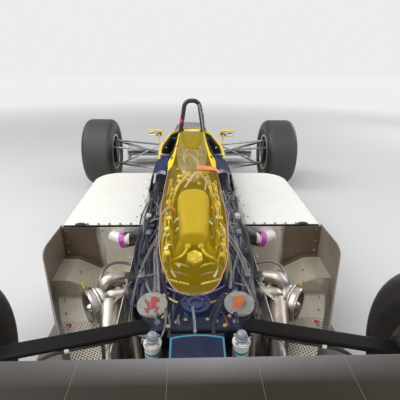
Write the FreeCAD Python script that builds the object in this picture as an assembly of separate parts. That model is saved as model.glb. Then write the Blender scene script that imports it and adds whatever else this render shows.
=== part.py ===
# An open wheel racing car of the turbocharged era, at its real size, in millimetres.
# +X runs to the nose, +Y to the car's left and +Z up. The origin lies on the ground, midway along the car.
# Each function makes one sub-part; make_parts() at the end names them all and writes one file for each.
import FreeCAD
import Part
import math
import os

from FreeCAD import Vector

# ---- overall layout -------------------------------------------------------------------------------
WHEELBASE = 2800.0
NOSE_OVERHANG = 900.0          # front axle to the nose tip
TAIL_OVERHANG = 700.0          # rear axle to the rear wing's trailing end
SEAT = 0.3                     # gap between pieces that rest on or run in each other
REAR_AXLE = TAIL_OVERHANG - (TAIL_OVERHANG + WHEELBASE + NOSE_OVERHANG) / 2
FRONT_AXLE = REAR_AXLE + WHEELBASE
NOSE_TIP = FRONT_AXLE + NOSE_OVERHANG
TAIL_END = REAR_AXLE - TAIL_OVERHANG

# ---- wheels ---------------------------------------------------------------------------------------
FRONT_RADIUS, FRONT_WIDTH, FRONT_CENTRE_Y = 325.0, 294.0, 892.0
REAR_RADIUS, REAR_WIDTH, REAR_CENTRE_Y = 340.0, 420.0, 842.0
BEAD_RADIUS = 168.0            # where the tyre sits on the rim
RIM_WALL = 9.0
SHOULDER = 62.0                # rounding of the tyre's shoulders
DISC_RADIUS, DISC_THICK = 139.0, 26.0
STUB_RADIUS = 34.0             # wheel hub's stub, which turns in the upright
RUN = 0.05                     # radial clearance of a pin, stub or shaft that turns
SPOKES = 8
WINDOWS = 6                    # vanes between a brake disc's faces, by pairs

# ---- suspension and steering ----------------------------------------------------------------------
KINGPIN_Y = 775.0
UPPER_BALL, LOWER_BALL = 445.0, 205.0
BALL_EYE, BALL_PIN, EYE_THICK = 16.0, 8.0, 18.0
LEG_RADIUS = 9.0
STEER_ARM = 105.0              # kingpin to track rod, along the car
ARM_TOP = 386.0
TRACK_ROD = 8.0
RACK_RADIUS, RACK_HEIGHT, RACK_HALF = 14.0, 355.0, 212.0
COLUMN_TILT = 14.0
COLUMN_RADIUS = 11.0
WHEEL_REACH, WHEEL_Z = 255.0, 505.0     # steering wheel's centre, behind the dash
REAR_UPRIGHT = (572.0, 627.0)
REAR_ARM_WIDE, REAR_ARM_THICK, REAR_ARM_Z = 56.0, 15.0, 450.0

# ---- floor ----------------------------------------------------------------------------------------
FLOOR_LOW, FLOOR_THICK = 40.0, 8.0
FLOOR_TOP = FLOOR_LOW + FLOOR_THICK
FLOOR_HALF = 655.0
FLOOR_HALF_REAR = 560.0        # between the rear tyres
TUNNEL_INNER = 120.0
TUNNEL_START, TUNNEL_END = 60.0, -330.0
TUNNEL_RISE = 130.0

# ---- side pods and the open bays behind them ------------------------------------------------------
POD_TOP = 420.0
POD_WALL = 5.0
POD_HALF_FRONT, POD_HALF_REAR = 690.0, 672.0
POD_FRONT, POD_REAR = 1800.0, 905.0     # ahead of the rear axle
POD_CORNER = 170.0
POD_INNER = 272.0
POD_REACH = 190.0              # how far in the pod skin is drawn before the tub cuts it
SIDE_TOP = (400.0, 344.0)      # the liner's inner side, at its front and its rear
SHEET = 3.0                    # folded sheet that lines the bays
SHELF_OUTER, SHELF_INNER = 250.0, 132.0     # the liner's shelf falls towards the engine
SHELF_REAR = 690.0
PAN_FRONT, PAN_REAR = (664.0, 150.0), (150.0, 205.0)    # x ahead of the rear axle, z

# ---- monocoque ------------------------------------------------------------------------------------
TUB_WALL = 22.0
TUB_REAR = 1080.0
SEAT_BULKHEAD = 1400.0
COCKPIT_REAR, COCKPIT_FRONT = 1565.0, 2560.0
DASH = 2240.0
BULKHEAD = 250.0               # front bulkhead, ahead of the front axle
COAMING = 20.0
COAMING_TOP = 620.0

# ---- engine and gearbox ---------------------------------------------------------------------------
CRANK_HEIGHT = 165.0
BANK_ANGLE = 40.0
FILLER_X, FILLER_Z = 465.0, 502.0
ENGINE_FRONT, ENGINE_REAR = 950.0, 480.0
GEARBOX_HALF = 92.0
SHELL = 4.0                    # engine cover's thickness


def ahead(distance):
    """The x of a place that far ahead of the rear axle."""
    return REAR_AXLE + distance


def rounded_edges(points, radii, closed=True):
    """Lines between the points, with a tangent arc of the given radius at each corner."""
    count = len(points)
    corners = []
    for i, (p, r) in enumerate(zip(points, radii)):
        if r <= 0 or (not closed and i in (0, count - 1)):
            corners.append((p, p, None))
            continue
        a = (points[i - 1] - p).normalize()
        b = (points[(i + 1) % count] - p).normalize()
        half = a.getAngle(b) / 2
        centre = p + (a + b).normalize() * (r / math.sin(half))
        middle = centre + (p - centre).normalize() * r
        reach = r / math.tan(half)
        corners.append((p + a * reach, p + b * reach, middle))
    edges = []
    for i, (start, end, middle) in enumerate(corners):
        if middle is not None:
            edges.append(Part.Arc(start, middle, end).toShape())
        if i == count - 1 and not closed:
            break
        following = corners[(i + 1) % count][0]
        if end.distanceToPoint(following) > 1e-6:
            edges.append(Part.makeLine(end, following))
    return edges


def outline(points, radii):
    """A closed wire with rounded corners."""
    return Part.Wire(rounded_edges(points, radii))


def plate(points, radii, along):
    """The outlined face pushed along a vector."""
    return Part.Face(outline(points, radii)).extrude(along)


def box(x, y, z):
    """A box from three (low, high) pairs."""
    return Part.makeBox(x[1] - x[0], y[1] - y[0], z[1] - z[0], Vector(x[0], y[0], z[0]))


def rod(start, end, radius):
    """A round bar between two points."""
    return Part.makeCylinder(radius, start.distanceToPoint(end), start, end - start)


def bar(start, end, wide, thick):
    """A flat bar with round edges between two points, lying level."""
    run = end - start
    side = run.cross(Vector(0, 0, 1)).normalize()
    up = side.cross(run).normalize()
    r = thick / 2 - 0.01
    corners = [start + side * (wide / 2 * i) + up * (thick / 2 * j) for i, j in ((-1, -1), (1, -1), (1, 1), (-1, 1))]
    return plate(corners, [r] * 4, run)


def bent_tube(points, bends, radius, wall=0.0):
    """A tube along straight runs joined by arcs; with a wall it is open at both ends."""
    path = Part.Wire(rounded_edges(points, [0] + list(bends) + [0], closed=False))
    run = points[1] - points[0]
    ring = Part.Wire(Part.makeCircle(radius, points[0], run))
    tube = path.makePipeShell([ring], True, False)
    if wall:
        hole = Part.Wire(Part.makeCircle(radius - wall, points[0], run))
        tube = tube.cut(path.makePipeShell([hole], True, False))
    return tube


def turned(profile, radii, centre, y_sign=1):
    """A solid turned about the wheel axis. The profile's points are (y, r) from the wheel's centre."""
    points = [Vector(centre.x, centre.y + y_sign * y, centre.z + r) for y, r in profile]
    face = Part.Face(outline(points, radii))
    return face.revolve(centre, Vector(0, 1, 0), 360)


def fused(pieces):
    """The pieces joined into one solid."""
    joined = pieces[0].multiFuse(pieces[1:]) if len(pieces) > 1 else pieces[0]
    return joined.removeSplitter()


def mirrored(shape):
    """The same piece on the car's other side."""
    return shape.mirror(Vector(0, 0, 0), Vector(0, 1, 0))


def both_sides(shape):
    """The piece and its mirror image, as solids that don't touch."""
    return Part.makeCompound([shape, mirrored(shape)])


def section(x, half, radii):
    """A closed section across the car. half lists (y, z) up the left side; the right side mirrors it."""
    left = [Vector(x, y, z) for y, z in half]
    right = [Vector(x, -y, z) for y, z in reversed(half)]
    return outline(left + right, list(radii) + list(reversed(radii)))


def lofted(rows, make, ruled=False):
    """A solid through the sections that make() gives for the rows."""
    return Part.makeLoft([make(row) for row in rows], True, ruled)


# ---- bodywork -------------------------------------------------------------------------------------
# x, half width low, half width high, low z, high z, corner radius
TUB_ROWS = [
    (ahead(TUB_REAR), 240, 222, FLOOR_TOP + SEAT, 545, 30),
    (ahead(COCKPIT_REAR - 65), 244, 230, FLOOR_TOP + SEAT, 580, 30),
    (ahead(1950), 240, 226, FLOOR_TOP + SEAT, 592, 32),
    (FRONT_AXLE - 430, 218, 184, FLOOR_TOP + SEAT, 582, 38),
    (FRONT_AXLE, 190, 145, 62, 515, 46),
    (FRONT_AXLE + BULKHEAD, 165, 120, 74, 440, 45),
]
NOSE_ROWS = [
    (FRONT_AXLE + BULKHEAD + SEAT, 165, 120, 74, 440, 45),
    (FRONT_AXLE + 520, 128, 88, 92, 330, 38),
    (FRONT_AXLE + 760, 92, 58, 112, 240, 28),
    (NOSE_TIP, 64, 38, 134, 186, 19),
]


def body_section(row, inset=0.0):
    """One section of the monocoque or the nose, drawn in by the wall where inset is given."""
    x, low, high, bottom, top, r = row
    half = [(low - inset, bottom + inset), (high - inset, top - inset)]
    return section(x, half, [r - inset * 0.6, r - inset * 0.6])


def cockpit_outline(z, grow=0.0):
    """The cockpit opening seen from above, grown outwards by a margin."""
    rear, front = ahead(COCKPIT_REAR) - grow, ahead(COCKPIT_FRONT) + grow
    left = [(rear, 207), (ahead(1830), 212), (ahead(2300), 166), (front, 60)]
    radii = [42 + grow, 600, 500, 60 + grow]
    points = [Vector(x, y + grow, z) for x, y in left] + [Vector(x, -y - grow, z) for x, y in reversed(left)]
    return outline(points, radii + list(reversed(radii)))


RACK_X = FRONT_AXLE - STEER_ARM


def column_line():
    """The steering wheel's centre and its axis, which points at the driver."""
    tilt = math.radians(COLUMN_TILT)
    return Vector(ahead(DASH - WHEEL_REACH), 0, WHEEL_Z), Vector(-math.cos(tilt), 0, math.sin(tilt))


def monocoque():
    """The hollow tub, solid behind the seat where the fuel cell is closed in."""
    solid = lofted(TUB_ROWS, body_section)
    inner_rows = [row for row in TUB_ROWS if row[0] > ahead(SEAT_BULKHEAD)]
    inner = lofted(inner_rows, lambda row: body_section(row, TUB_WALL))
    seat_back = box((ahead(SEAT_BULKHEAD), ahead(COCKPIT_REAR)), (-300, 300), (0, 700))
    front_wall = box((FRONT_AXLE + BULKHEAD - TUB_WALL, NOSE_TIP), (-300, 300), (0, 700))
    tub = solid.cut(inner.cut(seat_back).cut(front_wall))
    opening = Part.Face(cockpit_outline(420)).extrude(Vector(0, 0, 300))
    rack_bore = rod(Vector(RACK_X, -400, RACK_HEIGHT), Vector(RACK_X, 400, RACK_HEIGHT), RACK_RADIUS + RUN)
    centre, axis = column_line()
    dash = box((ahead(DASH) - 16, ahead(DASH)), (-300, 300), (395, 590)).common(solid)
    column_bore = rod(centre, centre - axis * 400, COLUMN_RADIUS + RUN)
    under = box((ahead(0), ahead(POD_FRONT + 30)), (-400, 400), (0, FLOOR_TOP + SEAT))
    return fused([tub.cut(opening), dash]).cut(rack_bore).cut(column_bore).cut(under)


def nose_cone():
    """The nose, from the front bulkhead down to the tip between the front wings."""
    nose = lofted(NOSE_ROWS, body_section)
    tip = [e for e in nose.Edges if e.BoundBox.XMin > NOSE_TIP - 1]
    spar = wing(FRONT_WING, -FRONT_WING_HALF, FRONT_WING_HALF)
    return nose.makeFillet(15, tip).cut(front_wing_bed()).cut(spar)


def coaming(tub):
    """The raised rim round the cockpit opening."""
    outer = Part.Face(cockpit_outline(530, COAMING)).extrude(Vector(0, 0, COAMING_TOP - 530))
    top = [e for e in outer.Edges if e.BoundBox.ZMin > COAMING_TOP - 1]
    outer = outer.makeFillet(COAMING * 0.45, top)
    inner = Part.Face(cockpit_outline(500, SEAT)).extrude(Vector(0, 0, 300))
    ring = outer.cut(inner).cut(tub)
    return max(ring.Solids, key=lambda solid: solid.Volume)


# ---- wings ----------------------------------------------------------------------------------------
FRONT_WING_HALF = 735.0
FRONT_WING = {"lead": (NOSE_TIP - 40, 118.0), "chord": 250.0, "thick": 26.0, "camber": 14.0, "angle": 3.0}
FRONT_FLAP = {"lead": (NOSE_TIP - 268, 150.0), "chord": 120.0, "thick": 10.0, "camber": 8.0, "angle": 24.0}
REAR_WING_HALF = 496.0
WING_TOP = 1000.0              # rules of the time let no bodywork stand higher
REAR_WING = {"lead": (ahead(-400), 905.0), "chord": 238.0, "thick": 26.0, "camber": 14.0, "angle": 5.0}
REAR_FLAP = {"lead": (ahead(-604), 946.0), "chord": 92.0, "thick": 11.0, "camber": 7.0, "angle": 25.0}
TRAILING = 1.6                 # half of a wing's trailing edge
ENDPLATE, ENDPLATE_LOW = 8.0, 640.0


def foil(lead, chord, thick, camber, angle, y):
    """An inverted aerofoil's outline at y, from its leading edge rearwards."""
    a = math.radians(angle)

    def at(u, w):
        return Vector(lead[0] - u * math.cos(a) + w * math.sin(a), y, lead[1] + u * math.sin(a) + w * math.cos(a))

    nose = thick * 0.34
    top = [at(nose * 0.7, nose), at(chord * 0.42, -camber + thick / 2), at(chord, TRAILING)]
    low = [at(chord, -TRAILING), at(chord * 0.4, -camber - thick / 2), at(nose * 0.7, -nose)]
    edges = [Part.Arc(*top).toShape(), Part.makeLine(top[2], low[0]), Part.Arc(*low).toShape()]
    edges.append(Part.Arc(low[2], at(0, 0), top[0]).toShape())
    return Part.Wire(edges)


def wing(shape, y_from, y_to):
    """A straight wing between two y."""
    return Part.Face(foil(y=y_from, **shape)).extrude(Vector(0, y_to - y_from, 0))


def front_wing_bed():
    """The slot through the nose in which the front wing's spar lies."""
    grown = dict(FRONT_WING, thick=FRONT_WING["thick"] + 2 * SEAT)
    lead = (FRONT_WING["lead"][0] + SEAT, FRONT_WING["lead"][1])
    grown["lead"] = lead
    grown["chord"] = FRONT_WING["chord"] + 2 * SEAT
    return wing(grown, -FRONT_WING_HALF, FRONT_WING_HALF)


def front_wing():
    """The main plane in one piece through the nose, and a flap on each side."""
    main = wing(FRONT_WING, -FRONT_WING_HALF, FRONT_WING_HALF)
    inner = 175.0
    flap = wing(FRONT_FLAP, inner, FRONT_WING_HALF)
    return Part.makeCompound([main, flap, mirrored(flap)])


def front_endplates():
    """The plates that close the front wing's ends."""
    y = FRONT_WING_HALF + SEAT
    x = NOSE_TIP
    points = [
        Vector(x - 22, y, 70),
        Vector(x - 60, y, 205),
        Vector(x - 330, y, 262),
        Vector(x - 395, y, 235),
        Vector(x - 395, y, 66),
    ]
    return both_sides(plate(points, [26, 60, 40, 20, 12], Vector(0, ENDPLATE, 0)))


def rear_wing(gearbox_shape):
    """The main plane, the flap above its trailing edge and the pair of pylons below."""
    main = wing(REAR_WING, -REAR_WING_HALF, REAR_WING_HALF)
    flap = wing(REAR_FLAP, -REAR_WING_HALF, REAR_WING_HALF)
    pylons = rear_pylons(main, gearbox_shape)
    return Part.makeCompound([main, flap] + pylons)


def rear_endplates():
    """The tall plates that close the rear wing's ends."""
    y = REAR_WING_HALF + SEAT
    points = [
        Vector(ahead(-372), y, 720),
        Vector(ahead(-372), y, 950),
        Vector(ahead(-500), y, WING_TOP),
        Vector(TAIL_END, y, WING_TOP),
        Vector(TAIL_END, y, ENDPLATE_LOW),
        Vector(ahead(-520), y, ENDPLATE_LOW),
    ]
    return both_sides(plate(points, [30, 60, 40, 12, 40, 60], Vector(0, ENDPLATE, 0)))


def rear_pylons(wing_shape, gearbox_shape):
    """The pair of plates that carry the rear wing on the gearbox."""
    y = 50.0
    points = [
        Vector(ahead(-250), y, 300),
        Vector(ahead(-270), y, 420),
        Vector(ahead(-440), y, 930),
        Vector(ahead(-590), y, 930),
        Vector(ahead(-420), y, 420),
        Vector(ahead(-345), y, 300),
    ]
    pylon = plate(points, [8, 160, 6, 6, 160, 8], Vector(0, 9, 0)).cut(gearbox_shape).cut(wing_shape)
    pylon = max(pylon.Solids, key=lambda solid: solid.Volume)
    return [pylon, mirrored(pylon)]


# ---- side pods, bays and floor --------------------------------------------------------------------
def pod_plan(z, inset=0.0, spread=0.0):
    """A pod seen from above; spread runs it past its open sides."""
    front, rear = ahead(POD_FRONT) + spread, ahead(POD_REAR) - spread
    points = [
        Vector(rear, POD_REACH - spread, z),
        Vector(rear, POD_HALF_REAR - inset, z),
        Vector(ahead(POD_FRONT) - inset + spread, POD_HALF_FRONT - inset, z),
        Vector(front, POD_REACH - spread, z),
    ]
    return outline(points, [0, 0, POD_CORNER - inset, 0])


def pod_cover():
    """A side pod's painted skin: the top and the outer side, open at the front for the cooling air."""
    outer = Part.Face(pod_plan(FLOOR_TOP + SEAT)).extrude(Vector(0, 0, POD_TOP - FLOOR_TOP - SEAT))
    rim = [e for e in outer.Edges if e.BoundBox.ZMin > POD_TOP - 1 and e.BoundBox.YMax > POD_HALF_REAR - 1]
    outer = outer.makeFillet(26, rim)
    inner = Part.Face(pod_plan(0, POD_WALL)).extrude(Vector(0, 0, POD_TOP - POD_WALL))
    rim = [e for e in inner.Edges if e.BoundBox.ZMin > POD_TOP - POD_WALL - 1 and e.BoundBox.YMax > POD_HALF_REAR - 8]
    inner = inner.makeFillet(26 - POD_WALL, rim)
    low = (0, POD_TOP - POD_WALL)
    mouth = box((ahead(POD_FRONT) - 120, ahead(POD_FRONT) + 20), (POD_REACH - 10, 556), low)
    back = box((ahead(POD_REAR) - 20, ahead(POD_REAR) + 20), (POD_REACH - 10, POD_HALF_REAR - POD_WALL), low)
    side = box((ahead(POD_REAR) - 20, ahead(POD_FRONT) + 20), (POD_REACH - 10, POD_REACH + 20), low)
    behind_tub = box((ahead(POD_REAR) - 20, ahead(TUB_REAR) - 1), (0, POD_INNER - 12), (0, 900))
    tub = lofted(TUB_ROWS, lambda row: body_section(row, -SEAT))
    return outer.cut(inner).cut(mouth).cut(side).cut(back).cut(tub).cut(behind_tub)


def wall_path(offset=0.0):
    """The waisted line of the rear bodywork seen from above, moved inwards by an offset."""
    half = POD_HALF_REAR - offset
    turn = math.radians(26.5)
    knee = Vector(ahead(650), half, 0)
    tail = knee + Vector(-math.cos(turn), -math.sin(turn), 0) * 570
    return [Vector(ahead(POD_REAR) - SEAT, half, 0), knee, tail], [0, 260, 0]


def wall_solid(inner_offset, outer_offset, low, high):
    """A wall that follows the waisted line, between two offsets."""
    out, radii = wall_path(outer_offset)
    inn, _ = wall_path(inner_offset)
    edges = rounded_edges(out, radii, closed=False)
    back = rounded_edges(list(reversed(inn)), radii, closed=False)
    edges.append(Part.makeLine(out[-1], inn[-1]))
    edges += back
    edges.append(Part.makeLine(inn[0], out[0]))
    wall = Part.Face(Part.Wire(Part.__sortEdges__(edges))).extrude(Vector(0, 0, high - low))
    wall.translate(Vector(0, 0, low))
    return wall


def bay_wall():
    """The bare composite wall round the outside of the turbocharger's bay."""
    wall = wall_solid(POD_WALL, 0, FLOOR_TOP + SEAT, POD_TOP)
    slope = [
        Vector(ahead(700), 0, POD_TOP),
        Vector(ahead(60), 0, POD_TOP - 60),
        Vector(ahead(60), 0, POD_TOP + 40),
        Vector(ahead(700), 0, POD_TOP + 40),
    ]
    return wall.cut(plate(slope, [0] * 4, Vector(0, 800, 0)))


def heat_shield(pipes):
    """The folded sheet that lines a bay: bulkhead, inner side, sloping shelf with its step, and the pan."""
    front = ahead(POD_REAR) - 14
    outer, inner = POD_HALF_REAR - POD_WALL - SEAT, POD_INNER
    low = FLOOR_TOP + SEAT
    reach = wall_solid(outer_offset=POD_WALL + SEAT, inner_offset=POD_HALF_REAR - inner + 60, low=0, high=POD_TOP)
    bulkhead = box((front - SHEET, front), (inner, outer), (low, POD_TOP - POD_WALL - SEAT))
    side_line = [
        Vector(ahead(PAN_REAR[0]), inner, low),
        Vector(ahead(PAN_REAR[0]), inner, SIDE_TOP[1]),
        Vector(front, inner, SIDE_TOP[0]),
        Vector(front, inner, low),
    ]
    side = plate(side_line, [0] * 4, Vector(0, SHEET, 0))
    shelf_line = [
        Vector(front, outer, SHELF_OUTER),
        Vector(front, outer - 80, SHELF_OUTER),
        Vector(front, inner + 120, SHELF_INNER + 12),
        Vector(front, inner, SHELF_INNER),
    ]
    under = [p - Vector(0, 0, SHEET) for p in reversed(shelf_line)]
    shelf = plate(shelf_line + under, [0, 70, 90, 0, 0, 90, 70, 0], Vector(ahead(SHELF_REAR) - front, 0, 0))
    tilt = math.degrees(math.atan2(24, front - ahead(SHELF_REAR)))
    shelf.rotate(Vector(front, 0, SHELF_OUTER), Vector(0, 1, 0), -tilt * 0.5)
    step_face = box((ahead(SHELF_REAR) - 3, ahead(SHELF_REAR)), (inner, outer), (PAN_FRONT[1] - SHEET, SHELF_OUTER + 40))
    above_shelf = plate(shelf_line + [Vector(front, inner, 500), Vector(front, outer, 500)], [0, 70, 90, 0, 0, 0], Vector(-400, 0, 0))
    above_shelf.rotate(Vector(front, 0, SHELF_OUTER), Vector(0, 1, 0), -tilt * 0.5)
    step_face = step_face.cut(above_shelf)
    start, end = Vector(ahead(SHELF_REAR), inner, PAN_FRONT[1]), Vector(ahead(PAN_REAR[0]), inner, PAN_REAR[1])
    down = Vector(0, 0, -SHEET)
    pan = plate([start, end, end + down, start + down], [0] * 4, Vector(0, outer - inner, 0))
    lip = box((ahead(PAN_REAR[0]), ahead(PAN_REAR[0]) + SHEET), (inner, outer), (low, PAN_REAR[1] - 1))
    body = fused([shelf, bulkhead, side, step_face, pan, lip])
    return body.common(reach).cut(pipes)


def radiators():
    """The cooling matrix that stands slanted inside each pod."""
    points = [
        Vector(ahead(1480), POD_INNER + 14, 0),
        Vector(ahead(1530), POD_INNER + 14, 0),
        Vector(ahead(1150), POD_HALF_REAR - 36, 0),
        Vector(ahead(1100), POD_HALF_REAR - 36, 0),
    ]
    core = plate(points, [0] * 4, Vector(0, 0, POD_TOP - POD_WALL - FLOOR_TOP - 3 * SEAT))
    core.translate(Vector(0, 0, FLOOR_TOP + SEAT))
    return both_sides(core)


def undertray():
    """The flat floor, and the pair of rising tunnels between the rear wheels."""
    half, narrow = FLOOR_HALF, FLOOR_HALF_REAR
    front, step, rear = ahead(POD_FRONT + 20), ahead(400), ahead(TUNNEL_START)
    left = [(front, half), (step, half), (step - 40, narrow), (rear, narrow), (rear, TUNNEL_INNER), (ahead(-300), TUNNEL_INNER)]
    points = [Vector(x, y, FLOOR_LOW) for x, y in left] + [Vector(x, -y, FLOOR_LOW) for x, y in reversed(left)]
    radii = [120, 14, 14, 0, 0, 20]
    floor = plate(points, radii + list(reversed(radii)), Vector(0, 0, FLOOR_THICK))
    run = TUNNEL_START - TUNNEL_END
    pieces = [floor]
    roof_line = [
        Vector(rear + 1, 0, FLOOR_LOW),
        Vector(rear + 1, 0, FLOOR_TOP),
        Vector(rear - run, 0, FLOOR_TOP + TUNNEL_RISE),
        Vector(rear - run, 0, FLOOR_LOW + TUNNEL_RISE),
    ]
    fence_line = [roof_line[0], roof_line[1], roof_line[2], Vector(rear - run, 0, FLOOR_LOW + 20), Vector(rear - 60, 0, FLOOR_LOW)]
    for side in (-1, 1):
        inner, outer = sorted((side * (TUNNEL_INNER - 6), side * narrow))
        roof = plate(roof_line, [0] * 4, Vector(0, outer - inner, 0))
        roof.translate(Vector(0, inner, 0))
        pieces.append(roof)
        for y in (TUNNEL_INNER - 6, (TUNNEL_INNER + narrow) / 2, narrow - 6):
            fence = plate(fence_line, [0] * 5, Vector(0, 6, 0))
            fence.translate(Vector(0, y if side > 0 else -y - 6, 0))
            pieces.append(fence)
    return fused(pieces)


# ---- cockpit --------------------------------------------------------------------------------------
SCREEN_HIGH, SCREEN_LEAN = 52.0, 34.0
SCREEN_THICK = 3.0


def windscreen():
    """The low clear screen that follows the front of the cockpit's rim."""
    low, lean = COAMING_TOP + SEAT, Vector(-SCREEN_LEAN, 0, SCREEN_HIGH)
    middle = COAMING / 2
    outer = Part.Face(cockpit_outline(low, middle + SCREEN_THICK / 2)).extrude(lean)
    inner = Part.Face(cockpit_outline(low, middle - SCREEN_THICK / 2)).extrude(lean)
    behind = [
        Vector(ahead(1500), -400, low - 10),
        Vector(ahead(COCKPIT_FRONT) - 190, -400, low - 10),
        Vector(ahead(COCKPIT_FRONT) - 110, -400, low + 80),
        Vector(ahead(1500), -400, low + 80),
    ]
    return outer.cut(inner).cut(plate(behind, [0] * 4, Vector(0, 800, 0)))


def seat(tub):
    """The moulded seat: squab, back and two sides."""
    line = [
        Vector(ahead(2010), 0, 112),
        Vector(ahead(1800), 0, 84),
        Vector(ahead(1590), 0, 500),
        Vector(ahead(1580), 0, 500),
        Vector(ahead(1780), 0, 71),
        Vector(ahead(2010), 0, 100),
    ]
    shell = plate(line, [0, 90, 4, 4, 100, 0], Vector(0, 320, 0))
    shell.translate(Vector(0, -160, 0))
    cheek_line = [
        Vector(ahead(2010), 0, 101),
        Vector(ahead(1790), 0, 74),
        Vector(ahead(1600), 0, 440),
        Vector(ahead(1680), 0, 440),
        Vector(ahead(1860), 0, 200),
        Vector(ahead(2010), 0, 160),
    ]
    cheeks = []
    for y in (-168, 158):
        cheek = plate(cheek_line, [0, 90, 10, 30, 60, 20], Vector(0, 10, 0))
        cheek.translate(Vector(0, y, 0))
        cheeks.append(cheek)
    moulding = fused([shell] + cheeks)
    moulding.translate(Vector(0, 0, FLOOR_TOP + TUB_WALL + 2 * SEAT - moulding.BoundBox.ZMin))
    return max(moulding.cut(tub).Solids, key=lambda solid: solid.Volume)


def headrest(tub):
    """The padded block ahead of the roll hoop."""
    pad = box((ahead(1496), ahead(1546)), (-62, 62), (640, 796))
    pad = pad.makeFillet(14, pad.Edges)
    post = box((ahead(1500), ahead(1530)), (-40, 40), (576, 650))
    return fused([pad, post.cut(tub)])


HOOP_X = ahead(1472)
HOOP_TUBE = 13.0


def roll_hoop(tub):
    """The narrow hoop behind the driver's head."""
    points = [
        Vector(HOOP_X, 104, 574),
        Vector(HOOP_X, 42, 990 - HOOP_TUBE),
        Vector(HOOP_X, -42, 990 - HOOP_TUBE),
        Vector(HOOP_X, -104, 574),
    ]
    hoop = bent_tube(points, [40, 40], HOOP_TUBE)
    brace = bent_tube([Vector(HOOP_X + 12, -64, 900), Vector(HOOP_X + 34, -78, 780), Vector(HOOP_X + 40, -96, 570)], [60], 8)
    return fused([hoop, brace]).cut(tub)


def mirrors(tub):
    """A small mirror on a curved stalk each side of the cockpit."""
    housing = box((ahead(1930), ahead(1976)), (222, 328), (664, 708))
    edges = [e for e in housing.Edges if e.BoundBox.XMin > ahead(1931)]
    housing = housing.makeFillet(10, edges)
    glass_bed = box((ahead(1920), ahead(1934)), (228, 322), (669, 703))
    housing = housing.cut(glass_bed)
    stalk = bent_tube([Vector(ahead(1960), 192, 566), Vector(ahead(1960), 246, 608), Vector(ahead(1960), 246, 668)], [26], 5)
    return both_sides(fused([housing, stalk.cut(tub)]))


def steering_wheel():
    """The small three-spoke wheel, on its column."""
    centre, axis = column_line()
    rim = Part.makeTorus(128, 12, centre, axis)
    hub = Part.makeCylinder(30, 22, centre - axis * 14, axis)
    column = Part.makeCylinder(COLUMN_RADIUS, 330, centre - axis * 340, axis)
    spokes = []
    for turn in (0, 120, 240):
        spoke = box((-4, 4), (0, 126), (-12, 12))
        spoke.rotate(Vector(0, 0, 0), Vector(1, 0, 0), turn - 90)
        spoke.rotate(Vector(0, 0, 0), Vector(0, 1, 0), COLUMN_TILT)
        spoke.translate(centre)
        spokes.append(spoke)
    return fused([rim, hub, column] + spokes)


# ---- engine, turbochargers and gearbox ------------------------------------------------------------
def engine():
    """The V6 block with its heads and cam covers."""
    long = ENGINE_FRONT - ENGINE_REAR
    crankcase = box((ahead(ENGINE_REAR), ahead(ENGINE_FRONT)), (-110, 110), (FLOOR_TOP + 12, CRANK_HEIGHT + 60))
    edges = [e for e in crankcase.Edges if abs(e.BoundBox.XLength - long) < 1]
    pieces = [crankcase.makeFillet(24, edges)]
    for side in (-1, 1):
        for half, low, high, trim, r in ((62, 40, 190, 10, 8), (72, 189, 236, 0, 6), (58, 235, 268, 14, 22)):
            bank = box((ahead(ENGINE_REAR) + trim, ahead(ENGINE_FRONT) - trim), (-half, half), (low, high))
            upper = [e for e in bank.Edges if e.BoundBox.ZMin > high - 1]
            bank = bank.makeFillet(r, upper)
            bank.rotate(Vector(0, 0, 0), Vector(1, 0, 0), -side * BANK_ANGLE)
            bank.translate(Vector(0, 0, CRANK_HEIGHT))
            pieces.append(bank)
    pieces.append(box((ahead(ENGINE_REAR) + 20, ahead(ENGINE_FRONT) - 20), (-50, 50), (CRANK_HEIGHT, 340)))
    pump = Part.makeCylinder(48, 30, Vector(ahead(ENGINE_FRONT), 0, 250), Vector(1, 0, 0))
    neck = rod(Vector(ahead(ENGINE_REAR + 36), 0, 330), Vector(ahead(FILLER_X), 0, FILLER_Z - 20), 22)
    lean = Vector(-0.35, 0, 1).normalize()
    cap_foot = Vector(ahead(FILLER_X), 0, FILLER_Z - 22)
    pieces += [pump, neck, rod(cap_foot, cap_foot + lean * 14, 33), rod(cap_foot, cap_foot + lean * 24, 25)]
    return fused(pieces)


# x ahead of the rear axle, half width, low z, high z
PLENUM_ROWS = [(572, 58, 478, 552), (760, 74, 474, 602), (1030, 80, 484, 652)]


def plenum():
    """The cast air chamber above the vee, with a runner to each cylinder."""
    def ring(row):
        x, half, low, high = row
        return section(ahead(x), [(half, low), (half, high)], [26, 36])

    chamber = lofted(PLENUM_ROWS, ring, True)
    ends = [e for e in chamber.Edges if e.BoundBox.XLength < 1]
    chamber = chamber.makeFillet(20, ends)
    pieces = [chamber]
    for i in range(3):
        x = ahead(ENGINE_REAR + 120 + i * 130)
        for side in (-1, 1):
            low = Vector(x - 10, side * 98, CRANK_HEIGHT + 222)
            pieces.append(bent_tube([low, Vector(x - 10, side * 66, CRANK_HEIGHT + 280), Vector(x, side * 40, 500)], [24], 20))
    return fused(pieces)


# x ahead of the rear axle, half width low, half width high, low z, high z, corner radius
GEARBOX_ROWS = [
    (ahead(ENGINE_REAR - SEAT), 175, 150, 70, 360, 60),
    (ahead(400), 150, 130, 74, 350, 55),
    (ahead(300), 108, 100, 80, 345, 45),
    (ahead(130), 95, 92, 84, 400, 40),
    (ahead(-60), 92, 88, 110, 400, 36),
    (ahead(-260), 78, 70, 160, 330, 30),
]
BEAM = (125.0, 185.0)          # cross beam that carries the upper rear arms
BEAM_HALF, BEAM_TOP = 138.0, 458.0
FLANGE_Y = 150.0
OIL_TANK_X, OIL_TANK_TOP, OIL_TANK_RADIUS = 238.0, 458.0, 48.0
TOW_EYE = (-296.0, 245.0)      # x ahead of the rear axle, z
TOW_BORE, TOW_THICK = 18.0, 12.0


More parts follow.
